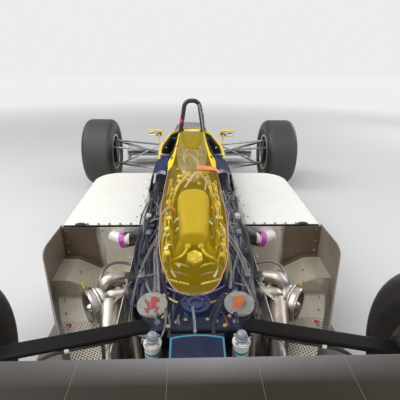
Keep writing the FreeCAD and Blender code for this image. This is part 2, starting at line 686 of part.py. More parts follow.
def gearbox():
    """The casing from the bell housing to the tail, with the final drive and the suspension's cross beam."""
    casing = lofted(GEARBOX_ROWS, body_section)
    axle = Vector(REAR_AXLE, 0, REAR_RADIUS)
    drive = rod(axle - Vector(0, 130, 0), axle + Vector(0, 130, 0), 88)
    flange = rod(axle - Vector(0, FLANGE_Y, 0), axle + Vector(0, FLANGE_Y, 0), 52)
    beam = box((ahead(BEAM[0]), ahead(BEAM[1])), (-BEAM_HALF, BEAM_HALF), (380, BEAM_TOP))
    beam = beam.makeFillet(10, [e for e in beam.Edges if e.BoundBox.ZMin > BEAM_TOP - 1])
    tank = rod(Vector(ahead(OIL_TANK_X), 0, 300), Vector(ahead(OIL_TANK_X), 0, OIL_TANK_TOP), OIL_TANK_RADIUS)
    tank = tank.makeFillet(4, [e for e in tank.Edges if e.BoundBox.ZMin > OIL_TANK_TOP - 1])
    eye = Vector(ahead(TOW_EYE[0]), 0, TOW_EYE[1])
    thick = Vector(0, 0, TOW_THICK / 2)
    tow = [rod(eye - thick, eye + thick, TOW_BORE + 14)]
    tow.append(box((eye.x, eye.x + 50), (-24, 24), (eye.z - TOW_THICK / 2, eye.z + TOW_THICK / 2)))
    return fused([casing, drive, flange, beam, tank] + tow).cut(rod(eye - thick * 2, eye + thick * 2, TOW_BORE))


def rear_arms(gearbox_shape):
    """The broad upper blades and the round lower links, with the lower links' brackets."""
    blade = bar(
        Vector(ahead(155), BEAM_HALF - 6, REAR_ARM_Z),
        Vector(ahead(45), REAR_UPRIGHT[0] - SEAT, REAR_ARM_Z),
        REAR_ARM_WIDE,
        REAR_ARM_THICK,
    )
    foot = Vector(REAR_AXLE, REAR_UPRIGHT[0] + 6, 185)
    links = [rod(Vector(ahead(x), 80, 140), foot, 13) for x in (300, -80)]
    return both_sides(blade.cut(gearbox_shape)), both_sides(fused(links).cut(gearbox_shape))


def rear_uprights(arms):
    """The castings that carry the rear wheels' bearings and brake calipers."""
    axle = Vector(REAR_AXLE, 0, REAR_RADIUS)
    low, high = REAR_UPRIGHT
    points = [
        Vector(REAR_AXLE - 62, low, 380),
        Vector(REAR_AXLE - 20, low, 472),
        Vector(REAR_AXLE + 84, low, 472),
        Vector(REAR_AXLE + 66, low, 300),
        Vector(REAR_AXLE + 34, low, 165),
        Vector(REAR_AXLE - 34, low, 165),
    ]
    body = plate(points, [40, 20, 20, 60, 16, 16], Vector(0, high - low, 0))
    housing = rod(axle + Vector(0, low, 0), axle + Vector(0, REAR_CENTRE_Y - 130, 0), 66)
    bore = rod(axle + Vector(0, low - 50, 0), axle + Vector(0, REAR_CENTRE_Y, 0), STUB_RADIUS + RUN)
    jaw = caliper(REAR_CENTRE_Y, REAR_AXLE, REAR_RADIUS, "rear")
    return both_sides(fused([body, housing, jaw]).cut(bore).cut(arms))


# wheel centre to the brake disc's and the spider's inner faces, to the stub's inner end and to the housing's outer end
DISC_AT = {"front": -64.0, "rear": -118.0}
SPIDER_AT = {"front": -10.0, "rear": -60.0}
HOUSING_END = {"front": -72.0, "rear": -130.0}
WHEELS = {
    "front": (FRONT_RADIUS, FRONT_WIDTH, FRONT_CENTRE_Y, FRONT_AXLE),
    "rear": (REAR_RADIUS, REAR_WIDTH, REAR_CENTRE_Y, REAR_AXLE),
}
SPIDER_THICK = 20.0


def caliper(centre_y, x, z, axle_name):
    """The brake caliper that straddles the disc ahead of the wheel's centre."""
    disc = centre_y + DISC_AT[axle_name]
    block = box((x + 84, x + 150), (disc - 24, disc + DISC_THICK + 18), (z - 46, z + 46))
    block = block.common(rod(Vector(x, 0, z), Vector(x, 2000, z), DISC_RADIUS + 14))
    slot = rod(Vector(x, disc - 6, z), Vector(x, disc + DISC_THICK + 6, z), DISC_RADIUS + 5)
    foot = box((x + 20, x + 110), (disc - 24, disc - 8), (z - 30, z + 30))
    return fused([block.cut(slot), foot])


def tyre(axle_name):
    """A slick tyre, turned about its axle."""
    radius, width, y, x = WHEELS[axle_name]
    half, bead = width / 2, BEAD_RADIUS + SEAT
    profile = [
        (-half + 24, bead),
        (-half + 24, bead + 16),
        (-half, bead + 74),
        (-half, radius),
        (half, radius),
        (half, bead + 74),
        (half - 24, bead + 16),
        (half - 24, bead),
    ]
    return turned(profile, [0, 0, 60, SHOULDER, SHOULDER, 60, 0, 0], Vector(x, y, radius))


def rim(axle_name):
    """The wheel's barrel, its flanges and the pierced disc that joins them to the hub."""
    radius, width, y, x = WHEELS[axle_name]
    half, inner = width / 2 - 24 - SEAT, BEAD_RADIUS - RIM_WALL
    end = half + RIM_WALL
    lip = BEAD_RADIUS + 15
    profile = [
        (-end, inner),
        (-end, lip),
        (-half, lip),
        (-half, BEAD_RADIUS),
        (half, BEAD_RADIUS),
        (half, lip),
        (end, lip),
        (end, inner),
    ]
    profile = [(u if abs(u) != half else math.copysign(half + 2 * SEAT, u), r) for u, r in profile]
    barrel = turned(profile, [6, 3, 3, 0, 0, 3, 3, 6], Vector(x, y, radius))
    face = y + SPIDER_AT[axle_name]
    web = rod(Vector(x, face, radius), Vector(x, face + SPIDER_THICK, radius), inner + 2)
    window = [Vector(x - 16, face, radius + 78), Vector(x - 42, face, radius + inner - 14)]
    window += [Vector(2 * x - p.x, p.y, p.z) for p in reversed(window)]
    hole = plate(window, [8, 14, 14, 8], Vector(0, SPIDER_THICK + 2, 0))
    for i in range(SPOKES):
        cut = hole.copy()
        cut.rotate(Vector(x, 0, radius), Vector(0, 1, 0), i * 360 / SPOKES)
        web = web.cut(cut)
    bore = rod(Vector(x, face - 10, radius), Vector(x, face + 60, radius), STUB_RADIUS + SEAT)
    return fused([barrel, web]).cut(bore)


def hub(axle_name, inner_y):
    """The stub axle, its flange, the brake disc and the wheel nut, which all turn with the wheel."""
    radius, width, y, x = WHEELS[axle_name]
    face, disc = y + SPIDER_AT[axle_name], y + DISC_AT[axle_name]
    outer = face + SPIDER_THICK
    stub = rod(Vector(x, inner_y, radius), Vector(x, outer + 30, radius), STUB_RADIUS)
    flange = rod(Vector(x, face - 12, radius), Vector(x, face - SEAT, radius), 70)
    bell = rod(Vector(x, disc, radius), Vector(x, face - 6, radius), 62)
    rotor = rod(Vector(x, disc, radius), Vector(x, disc + DISC_THICK, radius), DISC_RADIUS)
    nut_points = [Vector(x + 42 * math.cos(t * math.pi / 3), outer + SEAT, radius + 42 * math.sin(t * math.pi / 3)) for t in range(6)]
    nut = plate(nut_points, [5] * 6, Vector(0, 24, 0))
    return fused([stub, flange, bell, rotor, nut])


def rear_hub():
    """The rear hub with its drive shaft, which runs on the wheel's own axis."""
    axle = Vector(REAR_AXLE, 0, REAR_RADIUS)
    turning = [hub("rear", REAR_UPRIGHT[0] - 8)]
    for start, end, radius in ((FLANGE_Y + SEAT, 205, 50), (205, 540, 16), (535, REAR_UPRIGHT[0] - 6, 46)):
        turning.append(rod(axle + Vector(0, start, 0), axle + Vector(0, end, 0), radius))
    return fused(turning)


def knuckle():
    """The front upright: ball pins, bearing housing, steering arm and brake caliper."""
    x, y, z = FRONT_AXLE, KINGPIN_Y, FRONT_RADIUS
    low, high = LOWER_BALL + EYE_THICK / 2 + SEAT, UPPER_BALL - EYE_THICK / 2 - SEAT
    points = [
        Vector(x - 20, y - 20, low),
        Vector(x - 56, y - 20, z),
        Vector(x - 22, y - 20, high),
        Vector(x + 22, y - 20, high),
        Vector(x + 56, y - 20, z),
        Vector(x + 20, y - 20, low),
    ]
    post = plate(points, [8, 60, 8, 8, 60, 8], Vector(0, 40, 0))
    pins = [rod(Vector(x, y, LOWER_BALL - 14), Vector(x, y, low + 5), BALL_PIN)]
    pins.append(rod(Vector(x, y, high - 5), Vector(x, y, UPPER_BALL + 14), BALL_PIN))
    housing_end = FRONT_CENTRE_Y + HOUSING_END["front"]
    housing = rod(Vector(x, y - 22, z), Vector(x, housing_end, z), 56)
    arm = box((x - STEER_ARM, x - 20), (y - 12, y + 12), (ARM_TOP - 14, ARM_TOP))
    eye = rod(Vector(x - STEER_ARM, y, ARM_TOP - 14), Vector(x - STEER_ARM, y, ARM_TOP), 14)
    jaw = caliper(FRONT_CENTRE_Y, x, z, "front")
    bore = rod(Vector(x, y - 60, z), Vector(x, y + 200, z), STUB_RADIUS + RUN)
    return fused([post, housing, arm, eye, jaw] + pins).cut(bore)


# inner end of each wishbone leg: x ahead of the front axle, z; one pair of legs for each ball joint
FRONT_LEGS = {
    UPPER_BALL: ((160, 345), (-280, 350)),
    LOWER_BALL: ((90, 212), (-380, 238)),
}


def tub_side(x, z):
    """The monocoque's half width at a place on its side."""
    for behind, front in zip(TUB_ROWS, TUB_ROWS[1:]):
        if behind[0] <= x <= front[0]:
            t = (x - behind[0]) / (front[0] - behind[0])
            low, high, bottom, top = (behind[i] + (front[i] - behind[i]) * t for i in (1, 2, 3, 4))
            return low + (high - low) * (z - bottom) / (top - bottom)
    raise ValueError(x)


def front_wishbones(tub):
    """The two wishbones and the pushrod on each side."""
    pieces = []
    for ball, legs in FRONT_LEGS.items():
        centre = Vector(FRONT_AXLE, KINGPIN_Y, ball)
        half = Vector(0, 0, EYE_THICK / 2)
        eye = rod(centre - half, centre + half, BALL_EYE)
        places = [(FRONT_AXLE + x, z) for x, z in legs]
        arms = [rod(Vector(x, tub_side(x, z) - 10, z), centre, LEG_RADIUS) for x, z in places]
        pin = rod(centre - half * 3, centre + half * 3, BALL_PIN + RUN)
        above = rod(centre + half, centre + half * 3, 40)
        below = rod(centre - half * 3, centre - half, 40)
        wishbone = fused([eye] + arms).cut(pin).cut(above).cut(below)
        pieces.append(wishbone.cut(tub))
    foot = Vector(FRONT_AXLE - 12, 690, LOWER_BALL + 6)
    head = Vector(FRONT_AXLE - 12, tub_side(FRONT_AXLE, 480) - 10, 480)
    lug = box((FRONT_AXLE - 46, FRONT_AXLE + 10), (676, 706), (LOWER_BALL - 4, LOWER_BALL + 10))
    pieces[1] = fused([pieces[1], rod(foot, head, 8).cut(tub), lug])
    return Part.makeCompound([p for piece in pieces for p in (piece, mirrored(piece))])


def track_rods():
    """The steering rack's bar with a track rod at each end. Their outer eyes lie over the steering arms."""
    bar_piece = rod(Vector(RACK_X, -RACK_HALF, RACK_HEIGHT), Vector(RACK_X, RACK_HALF, RACK_HEIGHT), RACK_RADIUS)
    outer = Vector(RACK_X, KINGPIN_Y, ARM_TOP + 9)
    link = rod(Vector(RACK_X, RACK_HALF - 8, RACK_HEIGHT), outer, TRACK_ROD)
    link = link.cut(rod(outer - Vector(0, 0, 30), outer + Vector(0, 0, 30), 6))
    eye = rod(outer - Vector(0, 0, 7), outer + Vector(0, 0, 7), 13)
    side = fused([link, eye])
    return fused([bar_piece, side, mirrored(side)])


TURBO = (462.0, 372.0, 290.0)  # its middle: x ahead of the rear axle, y, z
TURBO_YAW = 36.0               # the inlet looks outwards and back
INLET_RADIUS, INLET_BORE, VANES = 70.0, 60.0, 20
CHARGE_PIPE, TAILPIPE, WASTE_PIPE, RUNNER = 27.0, 36.0, 24.0, 19.0


def turbo_line(middle, start, end, radius):
    """A round body on the turbocharger's own axis, between two distances from its middle."""
    return rod(middle + Vector(0, start, 0), middle + Vector(0, end, 0), radius)


def turbo_body():
    """The two volutes, the bearing housing and the vaned inlet, turned to look outwards and back."""
    middle = Vector(ahead(TURBO[0]), TURBO[1], TURBO[2])
    ring = turbo_line(middle, 30, 56, INLET_RADIUS)
    ring = ring.makeFillet(5, [e for e in ring.Edges if e.BoundBox.YMin > middle.y + 50])
    ring = ring.cut(turbo_line(middle, 34, 60, INLET_BORE))
    pieces = [ring, turbo_line(middle, 20, 50, 17)]
    for i in range(VANES):
        vane = box((-1.2, 1.2), (middle.y + 32, middle.y + 47), (14, INLET_BORE + 3))
        vane.translate(Vector(middle.x, 0, middle.z))
        vane.rotate(middle, Vector(0, 1, 0), i * 360 / VANES)
        pieces.append(vane)
    for place, major, minor in ((6, 46, 25), (-66, 40, 23)):
        scroll = Part.makeTorus(major, minor, middle + Vector(0, place, 0), Vector(0, 1, 0))
        pieces += [scroll, turbo_line(middle, place - minor * 0.7, place + minor * 0.7, major)]
    pieces += [turbo_line(middle, 8, 34, 58), turbo_line(middle, -60, 0, 28), turbo_line(middle, -96, -60, 34)]
    body = fused(pieces)
    body.rotate(middle, Vector(0, 0, 1), TURBO_YAW)
    return body


def exhaust_pipes():
    """One side's manifold runners, tailpipe and wastegate pipe, and the pipe that takes the charge air away."""
    port_z = CRANK_HEIGHT + 90
    scroll = Vector(ahead(490), 330, 262)
    pieces = []
    for i in range(3):
        x = ahead(ENGINE_REAR + 80 + i * 150)
        corner = Vector(x - 10, 262, port_z)
        pieces.append(bent_tube([Vector(x, 205, port_z), corner, scroll], [34], RUNNER))
    tail = [Vector(ahead(500), 322, 290), Vector(ahead(420), 330, 318), Vector(ahead(320), 316, 292), Vector(ahead(112), 252, 240)]
    pieces.append(bent_tube(tail, [50, 90], TAILPIPE))
    waste = [Vector(ahead(480), 330, 240), Vector(ahead(400), 250, 236), Vector(ahead(112), 168, 222)]
    pieces.append(bent_tube(waste, [90], WASTE_PIPE))
    charge = [Vector(ahead(478), 372, 330), Vector(ahead(486), 360, 382), Vector(ahead(520), 296, 366), Vector(ahead(560), 232, 330)]
    pieces.append(bent_tube(charge, [34, 50], CHARGE_PIPE))
    bypass = [Vector(ahead(440), 340, 330), Vector(ahead(430), 330, 352), Vector(ahead(440), 268, 350), Vector(ahead(470), 215, 318)]
    pieces.append(bent_tube(bypass, [20, 40], 21))
    return pieces


def turbocharger():
    """One turbocharger with all its pipes."""
    return fused([turbo_body()] + exhaust_pipes())


DUCT = 28.0


def charge_ducts(chamber):
    """The pair of ducts that bring the cooled charge air from the pods into the plenum's front."""
    points = [
        Vector(ahead(POD_REAR) - 20, 410, 366),
        Vector(ahead(820), 330, 376),
        Vector(ahead(792), 262, 424),
        Vector(ahead(880), 110, 520),
        Vector(ahead(925), 40, 548),
    ]
    return both_sides(bent_tube(points, [60, 50, 80], DUCT).cut(chamber))


COVER_FOOT = 276.0
# x ahead of the rear axle; half width and z of the foot, shoulder, neck and crest
COVER_ROWS = [
    (COCKPIT_REAR - COAMING - 2, (COVER_FOOT, POD_TOP + SEAT), (236, 588), (128, 622), (70, 812)),
    (1350, (COVER_FOOT, POD_TOP + SEAT), (238, 580), (150, 650), (84, 776)),
    (1050, (COVER_FOOT, POD_TOP + SEAT), (238, 566), (180, 640), (106, 704)),
    (760, (COVER_FOOT, 408), (242, 530), (196, 590), (126, 634)),
    (400, (264, 384), (236, 478), (192, 520), (130, 550)),
    (110, (222, 352), (200, 418), (162, 446), (104, 474)),
]
COVER_RADII = (0, 60, 40, 36)


def cover_section(row, inset=0.0, drop=0.0):
    """One section of the engine cover, or of its inside."""
    x, foot, shoulder, neck, crest = row
    points = [(foot[0] - inset, foot[1] - drop), (shoulder[0] - inset, shoulder[1] - inset * 0.3)]
    points += [(neck[0] - inset * 0.8, neck[1] - inset * 0.6), (crest[0] - inset * 0.6, crest[1] - inset)]
    return section(ahead(x), points, [r - inset if r else 0 for r in COVER_RADII])


def engine_cover(ducts):
    """The clear moulded cover over the engine, open round the roll hoop, the ducts and the rear arms."""
    outer = lofted(COVER_ROWS, cover_section)
    rows = [(COVER_ROWS[0][0] + 8,) + COVER_ROWS[0][1:]] + COVER_ROWS[1:-1]
    rows += [(COVER_ROWS[-1][0] - 8,) + COVER_ROWS[-1][1:]]
    inner = lofted(rows, lambda row: cover_section(row, SHELL, 30))
    notch = box((ahead(1446), ahead(1600)), (-124, 124), (560, 900))
    slot = box((ahead(80), ahead(222)), (BEAM_HALF + 1, 300), (300, REAR_ARM_Z + REAR_ARM_THICK))
    pod_seat = box((ahead(POD_REAR) - 6, ahead(POD_FRONT)), (-400, 400), (300, POD_TOP + SEAT))
    return outer.cut(inner).cut(notch).cut(slot).cut(mirrored(slot)).cut(ducts).cut(pod_seat)


def tail_panel(gearbox_shape):
    """The painted panel that closes the cover's tail above the gearbox."""
    points = [Vector(ahead(104), 0, 461), Vector(ahead(-16), 0, 436), Vector(ahead(-16), 0, 432), Vector(ahead(104), 0, 457)]
    panel = plate(points, [0] * 4, Vector(0, 160, 0))
    panel.translate(Vector(0, -80, 0))
    legs = [rod(Vector(ahead(20), y, 390), Vector(ahead(20), y, 441), 6) for y in (-60, 60)]
    return fused([panel] + legs).cut(gearbox_shape)


def reservoirs(gearbox_shape):
    """The pair of fluid reservoirs beside the tail panel."""
    centre = Vector(ahead(86), 129, 0)
    body = rod(centre + Vector(0, 0, 385), centre + Vector(0, 0, 452), 24)
    neck = rod(centre + Vector(0, 0, 450), centre + Vector(0, 0, 468), 15)
    return both_sides(fused([body, neck]).cut(gearbox_shape))


def blanking_discs(gearbox_shape):
    """The frosted discs on upright tubes that stand in for the exhaust's heat guards."""
    stem = rod(Vector(ahead(250), 145, 300), Vector(ahead(250), 145, 452), 13)
    disc = Part.makeCylinder(50, 4, Vector(ahead(246), 145, 450), Vector(-0.25, 0, 1))
    bracket = rod(Vector(ahead(250), 70, 318), Vector(ahead(250), 145, 318), 9)
    return both_sides(fused([stem, disc, bracket]).cut(gearbox_shape))


def build():
    """Makes every sub-part, in the order in which they are seated on each other."""
    parts = {}
    tub = monocoque()
    parts["monocoque"] = tub
    parts["nose_cone"] = nose_cone()
    rim_ring = coaming(tub)
    parts["cockpit_rim"] = rim_ring
    parts["windscreen"] = windscreen()
    parts["seat"] = seat(tub)
    parts["headrest"] = headrest(tub)
    parts["roll_hoop"] = roll_hoop(tub)
    parts["mirrors"] = mirrors(Part.makeCompound([tub, rim_ring]))
    parts["front_wing"] = front_wing()
    parts["front_wing_endplates"] = front_endplates()
    parts["undertray"] = undertray()
    pod = pod_cover()
    parts["pod_covers"] = both_sides(pod)
    parts["bay_walls"] = both_sides(bay_wall())
    parts["rear_wing_endplates"] = rear_endplates()
    block = engine()
    parts["engine"] = block
    chamber = plenum().cut(block)
    parts["plenum"] = chamber
    casing = gearbox().cut(block)
    parts["gearbox"] = casing
    parts["rear_wing"] = rear_wing(casing)
    blades, links = rear_arms(casing)
    parts["rear_upper_arms"] = blades
    parts["rear_lower_links"] = links
    parts["rear_uprights"] = rear_uprights(Part.makeCompound([blades, links]))
    turbo = turbocharger().cut(block).cut(casing)
    parts["turbochargers"] = both_sides(turbo)
    ducts = charge_ducts(chamber)
    parts["charge_ducts"] = ducts
    liner = heat_shield(turbo).cut(ducts).cut(links)
    parts["heat_shields"] = both_sides(max(liner.Solids, key=lambda solid: solid.Volume))
    parts["radiators"] = radiators()
    parts["engine_cover"] = engine_cover(ducts)
    parts["tail_panel"] = tail_panel(casing)
    parts["reservoirs"] = reservoirs(casing)
    parts["blanking_discs"] = blanking_discs(casing)
    parts["front_wishbones"] = front_wishbones(tub)
    parts["track_rods"] = track_rods()
    parts["steering_wheel"] = steering_wheel()
    moving = {"front_{}_upright": knuckle(), "rear_{}_hub": rear_hub()}
    moving["front_{}_hub"] = hub("front", KINGPIN_Y - 26)
    for axle_name in ("front", "rear"):
        moving[axle_name + "_{}_tyre"] = tyre(axle_name)
        moving[axle_name + "_{}_rim"] = rim(axle_name)
    for name, shape in moving.items():
        parts[name.format("left")] = shape
        parts[name.format("right")] = mirrored(shape)
    return parts


def make_parts():
    """Writes each sub-part to parts/NAME.step."""
    os.makedirs("parts", exist_ok=True)
    for name, shape in build().items():
        for solid in shape.Solids:
            if not solid.isValid() or solid.Volume <= 0:
                print("check", name, solid.isValid(), solid.Volume)
        print(name, len(shape.Solids), round(sum(s.Volume for s in shape.Solids) / 1e6, 3), "litres")
        shape.exportStep("parts/" + name + ".step")


make_parts()
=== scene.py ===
"""Dresses the open wheel racing car: its paint, clear cover, pipework, bays, cockpit and studio."""

import logging
import math
import random
from collections.abc import Iterable, Sequence
from dataclasses import dataclass
from enum import Enum

import bpy
from mathutils import Matrix, Vector


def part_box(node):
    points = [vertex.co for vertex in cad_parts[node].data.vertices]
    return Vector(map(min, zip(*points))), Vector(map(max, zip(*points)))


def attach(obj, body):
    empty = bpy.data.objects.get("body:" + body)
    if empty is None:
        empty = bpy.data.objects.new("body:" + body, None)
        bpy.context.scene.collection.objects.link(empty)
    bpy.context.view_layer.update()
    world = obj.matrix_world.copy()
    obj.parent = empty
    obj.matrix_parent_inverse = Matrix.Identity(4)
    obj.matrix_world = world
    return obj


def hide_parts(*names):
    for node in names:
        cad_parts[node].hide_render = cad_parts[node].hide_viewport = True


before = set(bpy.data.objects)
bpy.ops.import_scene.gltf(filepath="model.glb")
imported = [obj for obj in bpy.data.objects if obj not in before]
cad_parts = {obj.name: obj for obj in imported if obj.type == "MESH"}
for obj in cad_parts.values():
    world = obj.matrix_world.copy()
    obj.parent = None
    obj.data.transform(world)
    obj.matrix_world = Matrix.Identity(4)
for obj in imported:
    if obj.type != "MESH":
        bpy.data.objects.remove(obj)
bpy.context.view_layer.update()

LOG = logging.getLogger("racing_car")
Triple = tuple[float, float, float]
Point = Sequence[float]
Place = tuple[Point, Point]
Socket = bpy.types.NodeSocket
Thing = bpy.types.Object

REAR_AXLE = -1.5
FRONT_AXLE = 1.3
SIDES = (("left", 1), ("right", -1))
CHASSIS = "chassis"
ORIGIN = (0.0, 0.0, 0.0)
UP = (0.0, 0.0, 1.0)
LEFT = Vector((0.0, 1.0, 0.0))
# points closer than this, in metres, are welded into one
WELD = 0.00002
MATERIALS: dict[str, bpy.types.Material] = {}


# ---- shader nodes ---------------------------------------------------------------------------------
class Graph:
    """A node tree with short calls that add nodes and join them."""

    def __init__(self, tree: bpy.types.NodeTree) -> None:
        """Keeps the tree.

        Args:
            tree: The node tree that is filled.
        """
        self.tree = tree

    def add(self, kind: str, **settings: object) -> bpy.types.Node:
        """Adds a node and sets its properties.

        Args:
            kind: The node's type name without its prefix.
            settings: The properties by name.

        Returns:
            The new node.
        """
        node = self.tree.nodes.new("ShaderNode" + kind)
        for name, value in settings.items():
            setattr(node, name, value)
        return node

    def feed(self, socket: Socket, value: object) -> None:
        """Links a socket to an output, or sets its number or colour.

        Args:
            socket: The input.
            value: An output socket, a number or a colour.
        """
        if isinstance(value, bpy.types.NodeSocket):
            self.tree.links.new(value, socket)
        elif socket.type == "RGBA" and len(value) == 3:
            socket.default_value = (*value, 1.0)
        else:
            socket.default_value = value

    def math(self, operation: str, first: object, second: object = 0.0, third: object = 0.0) -> Socket:
        """Adds a Math node.

        Args:
            operation: Its operation.
            first: First value.
            second: Second value.
            third: Third value.

        Returns:
            Its result.
        """
        node = self.add("Math", operation=operation)
        for socket, value in zip(node.inputs, (first, second, third)):
            self.feed(socket, value)
        return node.outputs[0]

    def times(self, first: object, *others: object) -> Socket:
        """Multiplies values in turn and returns the product.

        Args:
            first: The first value.
            others: The values it is multiplied by.

        Returns:
            The product's socket.
        """
        for other in others:
            first = self.math("MULTIPLY", first, other)
        return first

    def line(self, value: object, gain: object, start: object) -> Socket:
        """The value times a gain, plus a start."""
        return self.math("MULTIPLY_ADD", value, gain, start)

    def far(self, first: object, second: object) -> Socket:
        """The length of a flat vector, from its two numbers."""
        squares = [self.math("POWER", part, 2.0) for part in (first, second)]
        return self.math("SQRT", self.math("ADD", *squares))

    def toned(self, colour: object, factor: object) -> Socket:
        """A colour made lighter or darker by a factor.

        Args:
            colour: The colour.
            factor: What it is multiplied by.

        Returns:
            The new colour's socket.
        """
        node = self.add("VectorMath", operation="SCALE")
        self.feed(node.inputs[0], colour)
        self.feed(node.inputs["Scale"], factor)
        return node.outputs[0]

    def facing(self) -> Socket:
        """The way the surface faces, along the piece's own axes.

        Returns:
            The direction's socket.
        """
        turn = self.add("VectorTransform", vector_type="NORMAL", convert_from="WORLD", convert_to="OBJECT")
        self.feed(turn.inputs[0], self.add("NewGeometry").outputs["Normal"])
        return turn.outputs[0]

    def mix(self, factor: object, first: object, second: object) -> Socket:
        """Mixes two colours and returns the result.

        Args:
            factor: How much of the second colour shows.
            first: The colour at zero.
            second: The colour at one.

        Returns:
            The mixed colour's socket.
        """
        node = self.add("Mix", data_type="RGBA")
        for index, value in ((0, factor), (6, first), (7, second)):
            self.feed(node.inputs[index], value)
        return node.outputs[2]

    def span(self, value: object, low: float, high: float, start: float = 0.0, end: float = 1.0) -> Socket:
        """Maps a value's range low to high onto start to end, held at both ends.

        Args:
            value: The value.
            low: Its lower limit.
            high: Its upper limit.
            start: The result at the lower limit.
            end: The result at the upper limit.

        Returns:
            The mapped value's socket.
        """
        node = self.add("MapRange")
        for socket, number in zip(node.inputs, (value, low, high, start, end)):
            self.feed(socket, number)
        return node.outputs[0]

    def noise(self, vector: Socket, scale: float, detail: float = 3.0, roughness: float = 0.55) -> Socket:
        """Adds a Noise texture and returns its value.

        Args:
            vector: The place.
            scale: The texture's scale.
            detail: The number of its octaves.
            roughness: How much its fine octaves count.

        Returns:
            The texture's value.
        """
        node = self.add("TexNoise")
        for name, value in (("Vector", vector), ("Scale", scale), ("Detail", detail), ("Roughness", roughness)):
            self.feed(node.inputs[name], value)
        return node.outputs[0]

    def apart(self, vector: Socket) -> tuple[Socket, Socket, Socket]:
        """Splits a vector into its three numbers.

        Args:
            vector: The vector.

        Returns:
            Its x, y and z.
        """
        node = self.add("SeparateXYZ")
        self.feed(node.inputs[0], vector)
        return node.outputs[0], node.outputs[1], node.outputs[2]

    def joined(self, x: object, y: object, z: object = 0.0) -> Socket:
        """Joins three numbers into a vector.

        Args:
            x: The first number.
            y: The second number.
            z: The third number.

        Returns:
            The vector's socket.
        """
        node = self.add("CombineXYZ")
        for socket, value in zip(node.inputs, (x, y, z)):
            self.feed(socket, value)
        return node.outputs[0]

    def stretched(self, vector: Socket, scale: Triple, shift: Triple = (0.0, 0.0, 0.0)) -> Socket:
        """Scales a vector and then shifts it.

        Args:
            vector: The vector.
            scale: Its scale along each axis.
            shift: What is added after the scaling.

        Returns:
            The new vector's socket.
        """
        node = self.add("VectorMath", operation="MULTIPLY_ADD")
        for socket, value in zip(node.inputs, (vector, scale, shift)):
            self.feed(socket, value)
        return node.outputs[0]

    def between(self, value: Socket, low: float, high: float, soft: float = 0.0004) -> Socket:
        """A mask that is one where the value lies between two limits.

        Args:
            value: The value.
            low: The lower limit.
            high: The upper limit.
            soft: How far each edge fades.

        Returns:
            The mask's socket.
        """
        rise = self.span(value, low - soft, low + soft)
        fall = self.span(value, high - soft, high + soft, 1.0, 0.0)
        return self.math("MULTIPLY", rise, fall)

    def place(self) -> Socket:
        """The piece's own coordinates, in metres."""
        return self.add("TexCoord").outputs["Object"]


class Effect(Enum):
    """The surface effects that several finishes share."""

    AXES = "surface_axes"
    GRAIN = "fine_grain"
    SMUDGE = "smudges"
    WEAVE = "twill_weave"
    BRUSH = "brushed_streaks"
    HOLES = "perforation"
    RINGS = "turned_rings"
    DUST = "settled_dust"


